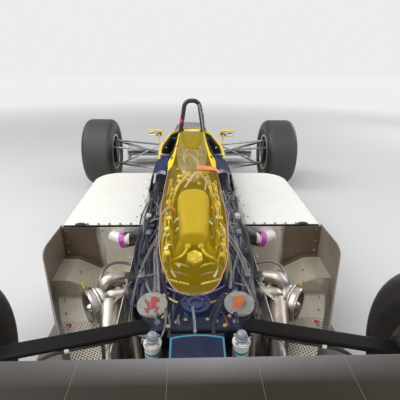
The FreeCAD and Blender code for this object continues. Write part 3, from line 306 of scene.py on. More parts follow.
class EffectShelf:
    """Builds each shared effect once, as a node group, and hands it out."""

    SOCKETS: dict[Effect, tuple[dict[str, str], dict[str, str]]] = {
        Effect.AXES: ({"Vector": "Vector"}, {"Vector": "Vector"}),
        Effect.GRAIN: ({"Vector": "Vector", "Scale": "Float"}, {"Tone": "Float", "Height": "Float"}),
        Effect.SMUDGE: ({"Vector": "Vector", "Scale": "Float"}, {"Mask": "Float"}),
        Effect.WEAVE: ({"Vector": "Vector", "Pitch": "Float"}, {"Tone": "Float", "Height": "Float"}),
        Effect.BRUSH: ({"Vector": "Vector", "Stretch": "Vector"}, {"Tone": "Float", "Height": "Float"}),
        Effect.HOLES: ({"Vector": "Vector", "Pitch": "Float", "Size": "Float"}, {"Mask": "Float"}),
        Effect.RINGS: ({"Vector": "Vector", "Pitch": "Float"}, {"Radius": "Float", "Height": "Float"}),
        Effect.DUST: ({"Vector": "Vector", "Amount": "Float"}, {"Mask": "Float"}),
    }

    def __init__(self) -> None:
        """Starts with no group built."""
        self.built: dict[Effect, bpy.types.NodeTree] = {}

    def group(self, effect: Effect) -> bpy.types.NodeTree:
        """The effect's node group, built at its first use.

        Args:
            effect: Which effect.

        Returns:
            Its node tree.
        """
        if effect not in self.built:
            tree = bpy.data.node_groups.new(effect.value, "ShaderNodeTree")
            inputs, outputs = self.SOCKETS[effect]
            for names, direction in ((inputs, "INPUT"), (outputs, "OUTPUT")):
                for name, kind in names.items():
                    tree.interface.new_socket(name, in_out=direction, socket_type="NodeSocket" + kind)
            graph = Graph(tree)
            source = tree.nodes.new("NodeGroupInput")
            sink = tree.nodes.new("NodeGroupOutput")
            given = {name: source.outputs[name] for name in inputs}
            for name, value in getattr(self, "_" + effect.name.lower())(graph, given).items():
                graph.feed(sink.inputs[name], value)
            self.built[effect] = tree
        return self.built[effect]

    def use(self, graph: Graph, effect: Effect, **values: object) -> dict[str, Socket]:
        """Places an effect in a material.

        Args:
            graph: The material's graph.
            effect: Which effect.
            values: The group's inputs by name.

        Returns:
            The group's outputs by name.
        """
        node = graph.tree.nodes.new("ShaderNodeGroup")
        node.node_tree = self.group(effect)
        for name, value in values.items():
            graph.feed(node.inputs[name], value)
        return {socket.name: socket for socket in node.outputs}

    def smudge(self, graph: Graph, place: Socket, scale: float) -> Socket:
        """The mask of the smudges at a given scale."""
        return self.use(graph, Effect.SMUDGE, Vector=place, Scale=scale)["Mask"]

    @staticmethod
    def _axes(graph: Graph, given: dict[str, Socket]) -> dict[str, Socket]:
        """Lays a flat pattern on the side of the piece that a surface faces.

        Args:
            graph: The group's own graph.
            given: The group's inputs by name.

        Returns:
            The group's outputs by name.
        """
        facing = [graph.math("ABSOLUTE", part) for part in graph.apart(graph.facing())]
        x, y, z = graph.apart(given["Vector"])
        level = graph.math("GREATER_THAN", facing[2], 0.62)
        across = graph.math("GREATER_THAN", facing[0], facing[1])
        side = graph.mix(across, graph.joined(x, z), graph.joined(y, z))
        return {"Vector": graph.mix(level, side, graph.joined(x, y))}

    @staticmethod
    def _grain(graph: Graph, given: dict[str, Socket]) -> dict[str, Socket]:
        """Fine even grain, as on cast metal and moulded plastic."""
        noise = graph.noise(given["Vector"], given["Scale"], 4.0, 0.5)
        return {"Tone": graph.span(noise, 0.3, 0.7, 0.88, 1.08), "Height": noise}

    @staticmethod
    def _smudge(graph: Graph, given: dict[str, Socket]) -> dict[str, Socket]:
        """Large soft patches of handling and dried wax."""
        return {"Mask": graph.span(graph.noise(given["Vector"], given["Scale"], 5.0, 0.65), 0.42, 0.68)}

    @staticmethod
    def _weave(graph: Graph, given: dict[str, Socket]) -> dict[str, Socket]:
        """A two by two twill: tows that pass over and under each other in steps.

        Args:
            graph: The group's own graph.
            given: The group's inputs by name.

        Returns:
            The group's outputs by name.
        """
        x, y, _ = graph.apart(given["Vector"])
        u, v = (graph.math("DIVIDE", part, given["Pitch"]) for part in (x, y))
        step = graph.math("ADD", graph.math("FLOOR", u), graph.math("FLOOR", v))
        over = graph.math("LESS_THAN", graph.math("FRACT", graph.math("DIVIDE", step, 4.0)), 0.49)
        tows = [graph.math("ABSOLUTE", graph.math("SINE", graph.times(part, math.pi))) for part in (u, v)]
        height = graph.add("Mix")
        for index, value in ((0, over), (2, tows[0]), (3, tows[1])):
            graph.feed(height.inputs[index], value)
        tone = graph.line(over, 0.5, 0.75)
        return {"Tone": tone, "Height": height.outputs[0]}

    @staticmethod
    def _brush(graph: Graph, given: dict[str, Socket]) -> dict[str, Socket]:
        """Streaks that run along the axis with the least stretch.

        Args:
            graph: The group's own graph.
            given: The group's inputs by name.

        Returns:
            The group's outputs by name.
        """
        long = graph.add("VectorMath", operation="MULTIPLY")
        graph.feed(long.inputs[0], given["Vector"])
        graph.feed(long.inputs[1], given["Stretch"])
        streak = graph.noise(long.outputs[0], 1.0, 4.0, 0.7)
        return {"Tone": graph.span(streak, 0.3, 0.7, 0.78, 1.15), "Height": streak}

    @staticmethod
    def _holes(graph: Graph, given: dict[str, Socket]) -> dict[str, Socket]:
        """Round holes in staggered rows.

        Args:
            graph: The group's own graph.
            given: The group's inputs by name.

        Returns:
            The group's outputs by name.
        """
        x, y, _ = graph.apart(given["Vector"])
        row_gap = math.sqrt(3) / 2
        v = graph.math("DIVIDE", y, graph.times(given["Pitch"], row_gap))
        row = graph.math("FLOOR", v)
        shift = graph.times(graph.math("MODULO", row, 2.0), 0.5)
        u = graph.math("ADD", graph.math("DIVIDE", x, given["Pitch"]), shift)
        du = graph.math("SUBTRACT", graph.math("FRACT", u), 0.5)
        dv = graph.times(graph.math("SUBTRACT", graph.math("SUBTRACT", v, row), 0.5), row_gap)
        return {"Mask": graph.math("LESS_THAN", graph.far(du, dv), given["Size"])}

    @staticmethod
    def _rings(graph: Graph, given: dict[str, Socket]) -> dict[str, Socket]:
        """Rings round the Y axis through the origin, as a lathe leaves them.

        Args:
            graph: The group's own graph.
            given: The group's inputs by name.

        Returns:
            The group's outputs by name.
        """
        x, _, z = graph.apart(given["Vector"])
        radius = graph.far(x, z)
        turns = graph.times(graph.math("DIVIDE", radius, given["Pitch"]), math.tau)
        return {"Radius": radius, "Height": graph.math("SINE", turns)}

    @staticmethod
    def _dust(graph: Graph, given: dict[str, Socket]) -> dict[str, Socket]:
        """Dust that lies on what faces up, thinner where it was wiped.

        Args:
            graph: The group's own graph.
            given: The group's inputs by name.

        Returns:
            The group's outputs by name.
        """
        up = graph.span(graph.apart(graph.facing())[2], 0.3, 1.0)
        patch = graph.span(graph.noise(given["Vector"], 9.0, 5.0, 0.6), 0.35, 0.75)
        return {"Mask": graph.times(up, patch, given["Amount"])}


SHELF = EffectShelf()


# ---- finishes -------------------------------------------------------------------------------------
@dataclass(frozen=True)
class Finish:
    """What every finish has: a name, a colour and plain shader values that hold all over."""

    name: str
    colour: Triple
    roughness: float = 0.4
    metallic: float = 0.0
    coat: float = 0.0
    bump: float = 0.05
    specular: float = 0.5

    def material(self) -> bpy.types.Material:
        """The finish's material, built at its first use.

        Returns:
            The material, which all pieces of this finish share.
        """
        made = MATERIALS.get(self.name)
        if made is None:
            made = bpy.data.materials.new(self.name + "_finish")
            MATERIALS[self.name] = made
            made.use_nodes = True
            shader = made.node_tree.nodes["Principled BSDF"]
            graph = Graph(made.node_tree)
            graph.feed(shader.inputs["Base Color"], self.colour)
            shader.inputs["Specular IOR Level"].default_value = self.specular
            for name, value in (
                ("Roughness", self.roughness), ("Metallic", self.metallic), ("Coat Weight", self.coat)
            ):
                shader.inputs[name].default_value = value
            if self.coat:
                shader.inputs["Coat Roughness"].default_value = 0.06
            self.dress(graph, shader)
            made.diffuse_color = (*self.colour, 1.0)
        return made

    def dress(self, graph: Graph, shader: bpy.types.Node) -> None:
        """Adds the finish's own pattern.

        Args:
            graph: The material's graph.
            shader: Its Principled shader.
        """
        grain = SHELF.use(graph, Effect.GRAIN, Vector=graph.place(), Scale=260.0)
        self.tone(graph, shader, grain["Tone"])
        self.raise_surface(graph, shader, grain["Height"], 0.0003)

    def tone(self, graph: Graph, shader: bpy.types.Node, factor: Socket, colour: object = None) -> None:
        """Multiplies the colour by a changing tone and feeds it to the shader."""
        toned = graph.toned(self.colour if colour is None else colour, factor)
        graph.feed(shader.inputs["Base Color"], toned)

    @staticmethod
    def base(shader: bpy.types.Node) -> Socket:
        """The colour that the shader has been given so far."""
        return shader.inputs["Base Color"].links[0].from_socket

    def over(self, graph: Graph, shader: bpy.types.Node, mask: Socket, colour: object) -> None:
        """Lays a colour over the shader's own where a mask is one."""
        graph.feed(shader.inputs["Base Color"], graph.mix(mask, self.base(shader), colour))

    def roughen(self, graph: Graph, shader: bpy.types.Node, mask: Socket, gain: float, less: float = 0.0) -> None:
        """Makes the surface rougher where a mask is one."""
        graph.feed(shader.inputs["Roughness"], graph.line(mask, gain, self.roughness - less))

    def raise_surface(self, graph: Graph, shader: bpy.types.Node, height: Socket, depth: float) -> None:
        """Feeds a height to the shader's normal through a Bump node.

        Args:
            graph: The material's graph.
            shader: Its Principled shader.
            height: The height.
            depth: How far a height of one stands out, in metres.
        """
        node = graph.add("Bump")
        node.inputs["Strength"].default_value = min(1.0, self.bump * 10)
        node.inputs["Distance"].default_value = depth
        graph.feed(node.inputs["Height"], height)
        graph.feed(shader.inputs["Normal"], node.outputs[0])


@dataclass(frozen=True)
class Paint(Finish):
    """Gloss paint under lacquer, with faint waviness, wax smudges and settled dust."""

    coat: float = 0.6
    roughness: float = 0.32
    dust: float = 0.25
    dust_colour: Triple = (0.45, 0.42, 0.38)

    def dress(self, graph: Graph, shader: bpy.types.Node) -> None:
        """Adds waviness, smudges and dust.

        Args:
            graph: The material's graph.
            shader: Its Principled shader.
        """
        place = graph.place()
        dust = SHELF.use(graph, Effect.DUST, Vector=place, Amount=self.dust)["Mask"]
        grain = SHELF.use(graph, Effect.GRAIN, Vector=place, Scale=34.0)
        base = graph.mix(dust, self.colour, self.dust_colour)
        self.tone(graph, shader, graph.span(grain["Tone"], 0.88, 1.08, 0.97, 1.02), base)
        smudge = SHELF.smudge(graph, place, 7.0)
        self.roughen(graph, shader, smudge, 0.12)
        self.raise_surface(graph, shader, grain["Height"], 0.0004)


@dataclass(frozen=True)
class Composite(Finish):
    """Woven composite, bare or under a thin lacquer."""

    pitch: float = 0.0024
    contrast: float = 0.3
    seam_pitch: float = 0.0
    seam_colour: Triple = (0.3, 0.24, 0.1)
    seam_width: float = 0.00045
    # where along the car the painted highlight on the leading edge sits; zero leaves it out
    highlight_x: float = 0.0
    rib_pitch: float = 0.0

    def dress(self, graph: Graph, shader: bpy.types.Node) -> None:
        """Adds the twill, its sheen, the gold seams between the sheets and a painted highlight along the leading
        edge.

        Args:
            graph: The material's graph.
            shader: Its Principled shader.
        """
        place = graph.place()
        flat = SHELF.use(graph, Effect.AXES, Vector=place)["Vector"]
        weave = SHELF.use(graph, Effect.WEAVE, Vector=flat, Pitch=self.pitch)
        smudge = SHELF.smudge(graph, place, 5.0)
        tone = graph.span(weave["Tone"], 0.75, 1.25, 1.0 - self.contrast, 1.0 + self.contrast)
        tone = graph.times(tone, graph.line(smudge, 0.25, 0.9))
        if self.rib_pitch:
            ribs = graph.math("SINE", graph.times(graph.apart(place)[1], math.tau / self.rib_pitch))
            tone = graph.times(tone, graph.span(ribs, -1.0, 1.0, 0.86, 1.12))
        self.tone(graph, shader, tone)
        if self.seam_pitch:
            _, y, _ = graph.apart(place)
            phase = graph.math("FRACT", graph.line(y, 1.0 / self.seam_pitch, 20.0))
            width = self.seam_width / self.seam_pitch
            seam = graph.between(phase, 0.5 - width / 2, 0.5 + width / 2, width * 0.3)
            self.over(graph, shader, graph.times(seam, 0.5), self.seam_colour)
        # a pale band along the leading edge, strongest mid-span: a painted highlight
        if self.highlight_x:
            x, y, _ = graph.apart(place)
            band = graph.times(
                graph.span(x, self.highlight_x - 0.034, self.highlight_x), graph.span(x, self.highlight_x + 0.004, self.highlight_x)
            )
            band = graph.times(band, graph.span(graph.math("ABSOLUTE", y), 0.2, 0.0, 0.25, 0.85))
            self.over(graph, shader, band, (0.28, 0.27, 0.28))
        self.roughen(graph, shader, smudge, 0.16)
        self.raise_surface(graph, shader, weave["Height"], 0.0002)


@dataclass(frozen=True)
class Metal(Finish):
    """Plain metal: cast, drawn or ground, with stains in its hollows."""

    metallic: float = 1.0
    scale: float = 320.0
    stain: Triple = (0.12, 0.1, 0.08)
    stained: float = 0.35

    def dress(self, graph: Graph, shader: bpy.types.Node) -> None:
        """Adds grain and stains.

        Args:
            graph: The material's graph.
            shader: Its Principled shader.
        """
        place = graph.place()
        grain = SHELF.use(graph, Effect.GRAIN, Vector=place, Scale=self.scale)
        smudge = SHELF.smudge(graph, place, 16.0)
        stained = graph.times(smudge, self.stained)
        self.tone(graph, shader, grain["Tone"], graph.mix(stained, self.colour, self.stain))
        self.roughen(graph, shader, smudge, 0.14)
        self.raise_surface(graph, shader, grain["Height"], 0.0004)


@dataclass(frozen=True)
class Chamber(Metal):
    """The plenum's cast metal: painted dark over its front end outside the rounded chamber, as painted shade, and
    pale along the raised ridge that closes the chamber, as a painted highlight.
    """

    # painted shade outside the rounded end, and the ridge's painted highlight
    front_colour: Triple = (0.07, 0.048, 0.004)
    ridge_highlight: Triple = (0.74, 0.6, 0.2)
    round_x: float = -0.695
    round_half: tuple[float, float] = (0.075, 0.08)

    def dress(self, graph: Graph, shader: bpy.types.Node) -> None:
        """Adds the cast grain, the fine ribs across the chamber as painted light and dark bands, the dark end as
        painted shade and the ridge's painted highlight.

        Args:
            graph: The material's graph.
            shader: Its Principled shader.
        """
        super().dress(graph, shader)
        x, y, _ = graph.apart(graph.place())
        ahead = graph.math("MAXIMUM", graph.math("SUBTRACT", x, self.round_x), 0.0)
        parts = [graph.math("DIVIDE", value, half) for value, half in zip((ahead, y), self.round_half)]
        far = graph.far(*(graph.math("ABSOLUTE", part) for part in parts))
        nose = graph.math("GREATER_THAN", ahead, 0.0)
        # the ribs are painted as light and dark bands: painted shading, not relief
        ribs = graph.span(graph.math("SINE", graph.times(x, 700.0)), -1.0, 1.0, 0.93, 1.04)
        rib_shaded = graph.toned(self.base(shader), ribs)
        # painted shade: outside the rounded end the box's corners turn dark
        body = graph.mix(graph.times(graph.span(far, 0.99, 1.0), nose), rib_shaded, self.front_colour)
        # a pale band just inside the rounded edge: painted highlight on the ridge
        ridge = graph.times(graph.between(far, 0.9, 1.0, 0.02), nose)
        graph.feed(shader.inputs["Base Color"], graph.mix(graph.times(ridge, 0.7), body, self.ridge_highlight))


@dataclass(frozen=True)
class HotSteel(Finish):
    """Stainless pipe that heat has coloured straw, rose and blue in bands."""

    metallic: float = 1.0
    roughness: float = 0.36
    # the darker colour towards the tail, and where along the car it is full
    tail_dark: Triple = (0.11, 0.1, 0.09)
    tail_dark_x: float = -1.29

    def dress(self, graph: Graph, shader: bpy.types.Node) -> None:
        """Adds the heat's colours and light scratches.

        Args:
            graph: The material's graph.
            shader: Its Principled shader.
        """
        place = graph.place()
        slow = graph.noise(place, 9.0, 3.0, 0.5)
        ramp = graph.add("ValToRGB")
        bands = (
            (0.36, self.colour), (0.47, (0.76, 0.67, 0.55)), (0.54, (0.6, 0.5, 0.42)), (0.59, (0.5, 0.49, 0.52)),
            (0.7, self.colour),
        )
        while len(ramp.color_ramp.elements) < len(bands):
            ramp.color_ramp.elements.new(0.5)
        for element, (at, colour) in zip(ramp.color_ramp.elements, bands):
            element.position = at
            element.color = (*colour, 1.0)
        graph.feed(ramp.inputs[0], slow)
        streaks = SHELF.use(graph, Effect.BRUSH, Vector=place, Stretch=(30.0, 260.0, 260.0))
        # the pipe turns darker towards the tail
        darkened = graph.span(graph.line(slow, 0.06, graph.apart(place)[0]), self.tail_dark_x + 0.16, self.tail_dark_x)
        steel = graph.mix(0.5, self.colour, ramp.outputs[0])
        self.tone(graph, shader, streaks["Tone"], graph.mix(darkened, steel, self.tail_dark))
        self.roughen(graph, shader, slow, 0.22, 0.08)
        self.raise_surface(graph, shader, streaks["Height"], 0.00015)


@dataclass(frozen=True)
class LinerSheet(Finish):
    """The bays' folded sheet: brushed, browned by heat at its outer side, and perforated in its pan."""

    metallic: float = 0.5
    roughness: float = 0.36
    browned: Triple = (0.2, 0.15, 0.11)
    straw: Triple = (0.36, 0.33, 0.22)
    gold: Triple = (0.95, 0.88, 0.72)
    bulkhead_x: float = -0.64
    step_x: float = -0.835
    holes_x: float = -0.985

    def dress(self, graph: Graph, shader: bpy.types.Node) -> None:
        """Adds the brushing, the tints and the holes, which are dented in and painted near black as painted shade.

        Args:
            graph: The material's graph.
            shader: Its Principled shader.
        """
        place = graph.place()
        x, y, z = graph.apart(place)
        out = graph.math("ABSOLUTE", y)
        streaks = SHELF.use(graph, Effect.BRUSH, Vector=place, Stretch=(18.0, 320.0, 14.0))
        waves = graph.noise(graph.stretched(place, (3.0, 26.0, 4.0)), 1.0, 2.0)
        wall = graph.span(x, self.bulkhead_x - 0.004, self.bulkhead_x)
        heat = graph.span(graph.line(waves, 0.09, out), 0.5, 0.535)
        tint = graph.mix(graph.times(heat, wall), self.colour, self.browned)
        shelf = graph.between(x, self.step_x, self.bulkhead_x - 0.006, 0.003)
        tint = graph.mix(graph.times(shelf, 0.6), tint, self.straw)
        flat = SHELF.use(graph, Effect.HOLES, Vector=place, Pitch=0.0125, Size=0.29)["Mask"]
        wavy = graph.line(waves, 0.05, x)
        pan = graph.span(wavy, self.holes_x + 0.002, self.holes_x - 0.002)
        low = graph.span(z, 0.245, 0.235)
        pan = graph.times(pan, low)
        tint = graph.mix(graph.times(pan, 0.85), tint, self.gold)
        holes = graph.times(flat, pan)
        graph.feed(shader.inputs["Metallic"], graph.line(pan, -0.35, self.metallic))
        # the holes are painted near black: painted shade inside the perforations
        self.tone(graph, shader, streaks["Tone"], graph.mix(holes, tint, (0.012, 0.011, 0.01)))
        self.roughen(graph, shader, waves, 0.18, 0.06)
        height = graph.math("SUBTRACT", graph.times(streaks["Height"], 0.1), holes)
        self.raise_surface(graph, shader, height, 0.0012)


@dataclass(frozen=True)
class Rubber(Finish):
    """Slick rubber on one wheel: scrubbed tread, ringed sidewall and fine pick-up."""

    centre: Triple = (0.0, 0.0, 0.0)
    tread_radius: float = 0.3
    roughness: float = 0.5

    def dress(self, graph: Graph, shader: bpy.types.Node) -> None:
        """Adds the sidewall's rings and the tread's scrubbing.

        Args:
            graph: The material's graph.
            shader: Its Principled shader.
        """
        place = graph.stretched(graph.place(), (1.0, 1.0, 1.0), tuple(-c for c in self.centre))
        rings = SHELF.use(graph, Effect.RINGS, Vector=place, Pitch=0.011)
        tread = graph.span(rings["Radius"], self.tread_radius - 0.012, self.tread_radius - 0.002)
        grain = SHELF.use(graph, Effect.GRAIN, Vector=place, Scale=120.0)
        scrub = SHELF.use(graph, Effect.BRUSH, Vector=place, Stretch=(12.0, 190.0, 12.0))
        worn = graph.mix(tread, self.colour, (0.052, 0.048, 0.044))
        self.tone(graph, shader, graph.times(grain["Tone"], scrub["Tone"]), worn)
        side = graph.times(rings["Height"], graph.math("SUBTRACT", 1.0, tread))
        height = graph.line(grain["Height"], 0.8, graph.times(side, 0.35))
        self.roughen(graph, shader, tread, 0.14, 0.07)
        self.raise_surface(graph, shader, height, 0.0008)


@dataclass(frozen=True)
class Turned(Finish):
    """Metal turned about one wheel's axle: a rim or a brake disc."""

    centre: Triple = (0.0, 0.0, 0.0)
    metallic: float = 1.0
    pitch: float = 0.0016

    def dress(self, graph: Graph, shader: bpy.types.Node) -> None:
        """Adds the rings that turning leaves, with brake dust between them.

        Args:
            graph: The material's graph.
            shader: Its Principled shader.
        """
        place = graph.stretched(graph.place(), (1.0, 1.0, 1.0), tuple(-c for c in self.centre))
        rings = SHELF.use(graph, Effect.RINGS, Vector=place, Pitch=self.pitch)
        smudge = SHELF.smudge(graph, place, 11.0)
        base = graph.mix(graph.times(smudge, 0.35), self.colour, (0.1, 0.085, 0.07))
        self.tone(graph, shader, graph.span(rings["Height"], -1.0, 1.0, 0.94, 1.03), base)
        self.roughen(graph, shader, smudge, 0.15)
        self.raise_surface(graph, shader, rings["Height"], 0.00012)


@dataclass(frozen=True)
class Cloth(Finish):
    """Woven cloth or webbing: a fine basket weave that catches the light."""

    pitch: float = 0.0016
    roughness: float = 0.85

    def dress(self, graph: Graph, shader: bpy.types.Node) -> None:
        """Adds the weave.

        Args:
            graph: The material's graph.
            shader: Its Principled shader.
        """
        shader.inputs["Sheen Weight"].default_value = 0.3
        place = graph.place()
        flat = SHELF.use(graph, Effect.AXES, Vector=place)["Vector"]
        weave = SHELF.use(graph, Effect.WEAVE, Vector=flat, Pitch=self.pitch)
        smudge = SHELF.smudge(graph, place, 18.0)
        tone = graph.times(weave["Tone"], graph.line(smudge, -0.2, 1.05))
        self.tone(graph, shader, tone)
        self.raise_surface(graph, shader, weave["Height"], 0.0005)


@dataclass(frozen=True)
class Banded(Finish):
    """Plastic with painted bands at given heights."""

    bands: tuple[tuple[float, float], ...] = ()
    band_colour: Triple = (0.0, 0.28, 0.33)

    def dress(self, graph: Graph, shader: bpy.types.Node) -> None:
        """Adds the bands and a little yellowing.

        Args:
            graph: The material's graph.
            shader: Its Principled shader.
        """
        place = graph.place()
        z = graph.apart(place)[2]
        smudge = SHELF.smudge(graph, place, 26.0)
        base = graph.mix(graph.times(smudge, 0.3), self.colour, (0.5, 0.46, 0.36))
        for low, high in self.bands:
            base = graph.mix(graph.between(z, low, high), base, self.band_colour)
        graph.feed(shader.inputs["Base Color"], base)
        grain = SHELF.use(graph, Effect.GRAIN, Vector=place, Scale=200.0)
        self.raise_surface(graph, shader, grain["Height"], 0.0002)


@dataclass(frozen=True)
class Sided(Finish):
    """A duct that is pale outside the engine cover and black under it."""

    border: float = 0.31
    under_colour: Triple = (0.02, 0.02, 0.02)

    def dress(self, graph: Graph, shader: bpy.types.Node) -> None:
        """Adds the change of colour and a soft mould texture.

        Args:
            graph: The material's graph.
            shader: Its Principled shader.
        """
        place = graph.place()
        out = graph.math("ABSOLUTE", graph.apart(place)[1])
        grain = SHELF.use(graph, Effect.GRAIN, Vector=place, Scale=90.0)
        body = graph.mix(graph.span(out, self.border, self.border + 0.001), self.under_colour, self.colour)
        self.tone(graph, shader, grain["Tone"], body)
        self.raise_surface(graph, shader, grain["Height"], 0.0008)


@dataclass(frozen=True)
class Glass(Finish):
    """Clear or smoked sheet that lets light through."""

    roughness: float = 0.04
    ior: float = 1.3

    def dress(self, graph: Graph, shader: bpy.types.Node) -> None:
        """Makes it transmit, with faint scratches.

        Args:
            graph: The material's graph.
            shader: Its Principled shader.
        """
        shader.inputs["Transmission Weight"].default_value = 1.0
        shader.inputs["IOR"].default_value = self.ior
        grain = SHELF.use(graph, Effect.GRAIN, Vector=graph.place(), Scale=40.0)
        self.tone(graph, shader, graph.span(grain["Tone"], 0.88, 1.08, 0.96, 1.0))
        self.raise_surface(graph, shader, grain["Height"], 0.0001)


@dataclass(frozen=True)
class PanelPaint(Finish):
    """The tail panel's dark paint with a teal line inside its edge."""

    coat: float = 0.0
    specular: float = 0.15
    half: float = 0.0785
    front_x: float = -1.3985
    rear_x: float = -1.508
    line: float = 0.005
    line_colour: Triple = (0.06, 0.24, 0.34)

    def dress(self, graph: Graph, shader: bpy.types.Node) -> None:
        """Adds the line round the panel, which arches at its front.

        Args:
            graph: The material's graph.
            shader: Its Principled shader.
        """
        place = graph.place()
        x, y, _ = graph.apart(place)
        out = graph.math("ABSOLUTE", y)
        arch = graph.line(graph.math("POWER", out, 2.0), 1.6, x)
        inside = graph.math("SUBTRACT", self.half, out)
        ahead = graph.math("SUBTRACT", self.front_x, arch)
        behind = graph.math("SUBTRACT", x, self.rear_x)
        near = graph.math("MINIMUM", graph.math("MINIMUM", inside, ahead), behind)
        line = graph.between(near, 0.0, self.line, 0.0003)
        smudge = SHELF.smudge(graph, place, 22.0)
        worn = graph.mix(graph.times(smudge, 0.25), self.colour, (0.05, 0.06, 0.08))
        graph.feed(shader.inputs["Base Color"], graph.mix(line, worn, self.line_colour))
        self.roughen(graph, shader, smudge, 0.2)


@dataclass(frozen=True)
class CoverShell(Finish):
    """The clear engine cover: a yellow see-through teardrop with painted shade over its crest, its pinstripes and the
    painted corners.
    """

    roughness: float = 0.08
    bump: float = 0.02
    specular: float = 0.14
    painted_roughness: float = 0.55
    yellow: Triple = (0.56, 0.38, 0.0)
    solid_yellow: Triple = (0.92, 0.65, 0.01)
    navy: Triple = (0.01, 0.018, 0.07)
    shield_colour: Triple = (0.75, 0.56, 0.17)
    middle_y: float = 0.004
    rear: float = -1.277
    front: float = 0.07
    reach: float = 0.16
    # place along the car, half width of all the yellow, half width of its see-through part
    shape: tuple[tuple[float, float, float], ...] = (
        (-1.277, 0.0, 0.0),
        (-1.2755, 0.018, 0.018),
        (-1.271, 0.034, 0.034),
        (-1.26, 0.0533, 0.0533),
        (-1.245, 0.068, 0.068),
        (-1.228, 0.08, 0.08),
        (-1.19, 0.0955, 0.0955),
        (-1.15, 0.11, 0.11),
        (-1.1, 0.1218, 0.1218),
        (-1.0, 0.133, 0.133),
        (-0.9, 0.1365, 0.1365),
        (-0.79, 0.137, 0.137),
        (-0.64, 0.131, 0.131),
        (-0.51, 0.124, 0.124),
        (-0.47, 0.125, 0.105),
        (-0.4, 0.129, 0.094),
        (-0.358, 0.126, 0.09),
        (-0.34, 0.112, 0.089),
        (-0.32, 0.102, 0.088),
        (-0.25, 0.094, 0.083),
        (-0.17, 0.086, 0.078),
        (0.07, 0.078, 0.066),
    )
    tear_alpha: float = 0.15
    shield_alpha: float = 0.24
    # the crest is made near opaque and dark olive: painted shade for the dark inside seen through the yellow
    crest_shade_alpha: float = 0.94
    crest_rear: float = -0.292
    crest_shade: Triple = (0.3, 0.215, 0.0)
    corner_front: float = -0.335
    corner_inner: float = 0.131
    crest_front: float = -0.02
    clear_alpha: float = 0.05
    tail_alpha: float = 0.15

    def dress(self, graph: Graph, shader: bpy.types.Node) -> None:
        """Adds the teardrop, its stripes, the painted corners, a small hole painted dark as shade and the clear
        remainder.

        Args:
            graph: The material's graph.
            shader: Its Principled shader.
        """
        place = graph.place()
        x, y, _ = graph.apart(place)
        out = graph.math("ABSOLUTE", graph.math("SUBTRACT", y, self.middle_y))
        whole, clear = (self.half_width(graph, x, column) for column in (1, 2))
        inside = graph.math("SUBTRACT", whole, out)
        along = graph.between(x, self.rear, self.crest_front)
        yellow = graph.times(graph.span(inside, -0.0004, 0.0004), along)
        solid = graph.span(graph.math("SUBTRACT", out, clear), -0.0004, 0.0004)
        solid = graph.times(solid, yellow, graph.span(x, -0.506, -0.504))
        tear = graph.math("SUBTRACT", yellow, solid)
        striped = graph.times(graph.span(x, -0.468, -0.47), graph.span(x, self.rear - 0.003, self.rear))
        red = graph.times(graph.between(inside, -0.001, 0.0007), striped)
        white = graph.times(graph.between(inside, -0.0024, -0.001), striped)
        tag = graph.times(graph.between(x, -0.262, -0.228), graph.between(y, 0.078, 0.1))
        # a dark oval on the painted gusset: painted shade standing in for a hole
        hole_shade = graph.math("LESS_THAN", self.oval(graph, x, out, (-0.37, 0.108), (0.016, 0.007)), 1.0)
        edge = graph.math("ADD", x, graph.line(out, -2.6, 0.478 + 2.6 * 0.135))
        outer = graph.math("SUBTRACT", 1.0, yellow)
        corner = graph.times(graph.span(edge, 0.0, 0.001), outer)
        painted = graph.span(x, self.corner_front + 0.001, self.corner_front)
        painted = graph.math("MAXIMUM", painted, graph.math("GREATER_THAN", out, self.corner_inner))
        corner = graph.times(corner, painted)
        lines = graph.math("ADD", graph.between(edge, -0.012, -0.006), graph.between(edge, -0.036, -0.03))
        lines = graph.times(lines, graph.times(outer, graph.math("GREATER_THAN", out, 0.137)))
        dip = graph.line(graph.math("POWER", out, 2.3), -73.0, x)
        shield = graph.math("LESS_THAN", self.oval(graph, x, out, (-0.27, 0.0), (0.35, 0.084)), 1.0)
        shield = graph.times(shield, tear, graph.math("LESS_THAN", dip, self.crest_rear))
        # painted shade: the front top of the yellow is near opaque and dark olive
        crest = graph.times(tear, graph.math("GREATER_THAN", dip, self.crest_rear))
        tail = graph.span(x, -1.1, -1.2)
        colour = graph.mix(tail, self.colour, self.navy)
        for mask, tone in (
            (tear, self.yellow),
            (shield, self.shield_colour),
            (crest, self.crest_shade),
            (solid, self.solid_yellow),
            (corner, self.navy),
            (graph.times(hole_shade, solid), (0.01, 0.01, 0.01)),
            (tag, (0.8, 0.25, 0.05)),
            (lines, (0.7, 0.72, 0.76)),
            (white, (0.7, 0.66, 0.62)),
            (red, (0.42, 0.02, 0.01)),
        ):
            colour = graph.mix(mask, colour, tone)
        graph.feed(shader.inputs["Base Color"], colour)
        painted = graph.math("MAXIMUM", solid, corner)
        self.roughen(graph, shader, painted, self.painted_roughness)
        facing = graph.add("LayerWeight")
        facing.inputs["Blend"].default_value = 0.16
        glint = graph.line(facing.outputs["Facing"], 0.16, self.clear_alpha)
        seen = graph.math("MAXIMUM", glint, graph.times(tail, self.tail_alpha))
        dust = SHELF.smudge(graph, place, 55.0)
        dusty = graph.times(shield, graph.line(dust, 0.6, 0.7))
        for mask, alpha in ((tear, self.tear_alpha), (dusty, self.shield_alpha), (crest, self.crest_shade_alpha)):
            seen = graph.math("MAXIMUM", seen, graph.times(mask, alpha))
        for mask in (solid, corner, lines, white, red):
            seen = graph.math("MAXIMUM", seen, mask)
        graph.feed(shader.inputs["Alpha"], seen)
        grain = SHELF.use(graph, Effect.GRAIN, Vector=place, Scale=14.0)
        self.raise_surface(graph, shader, grain["Height"], 0.0006)

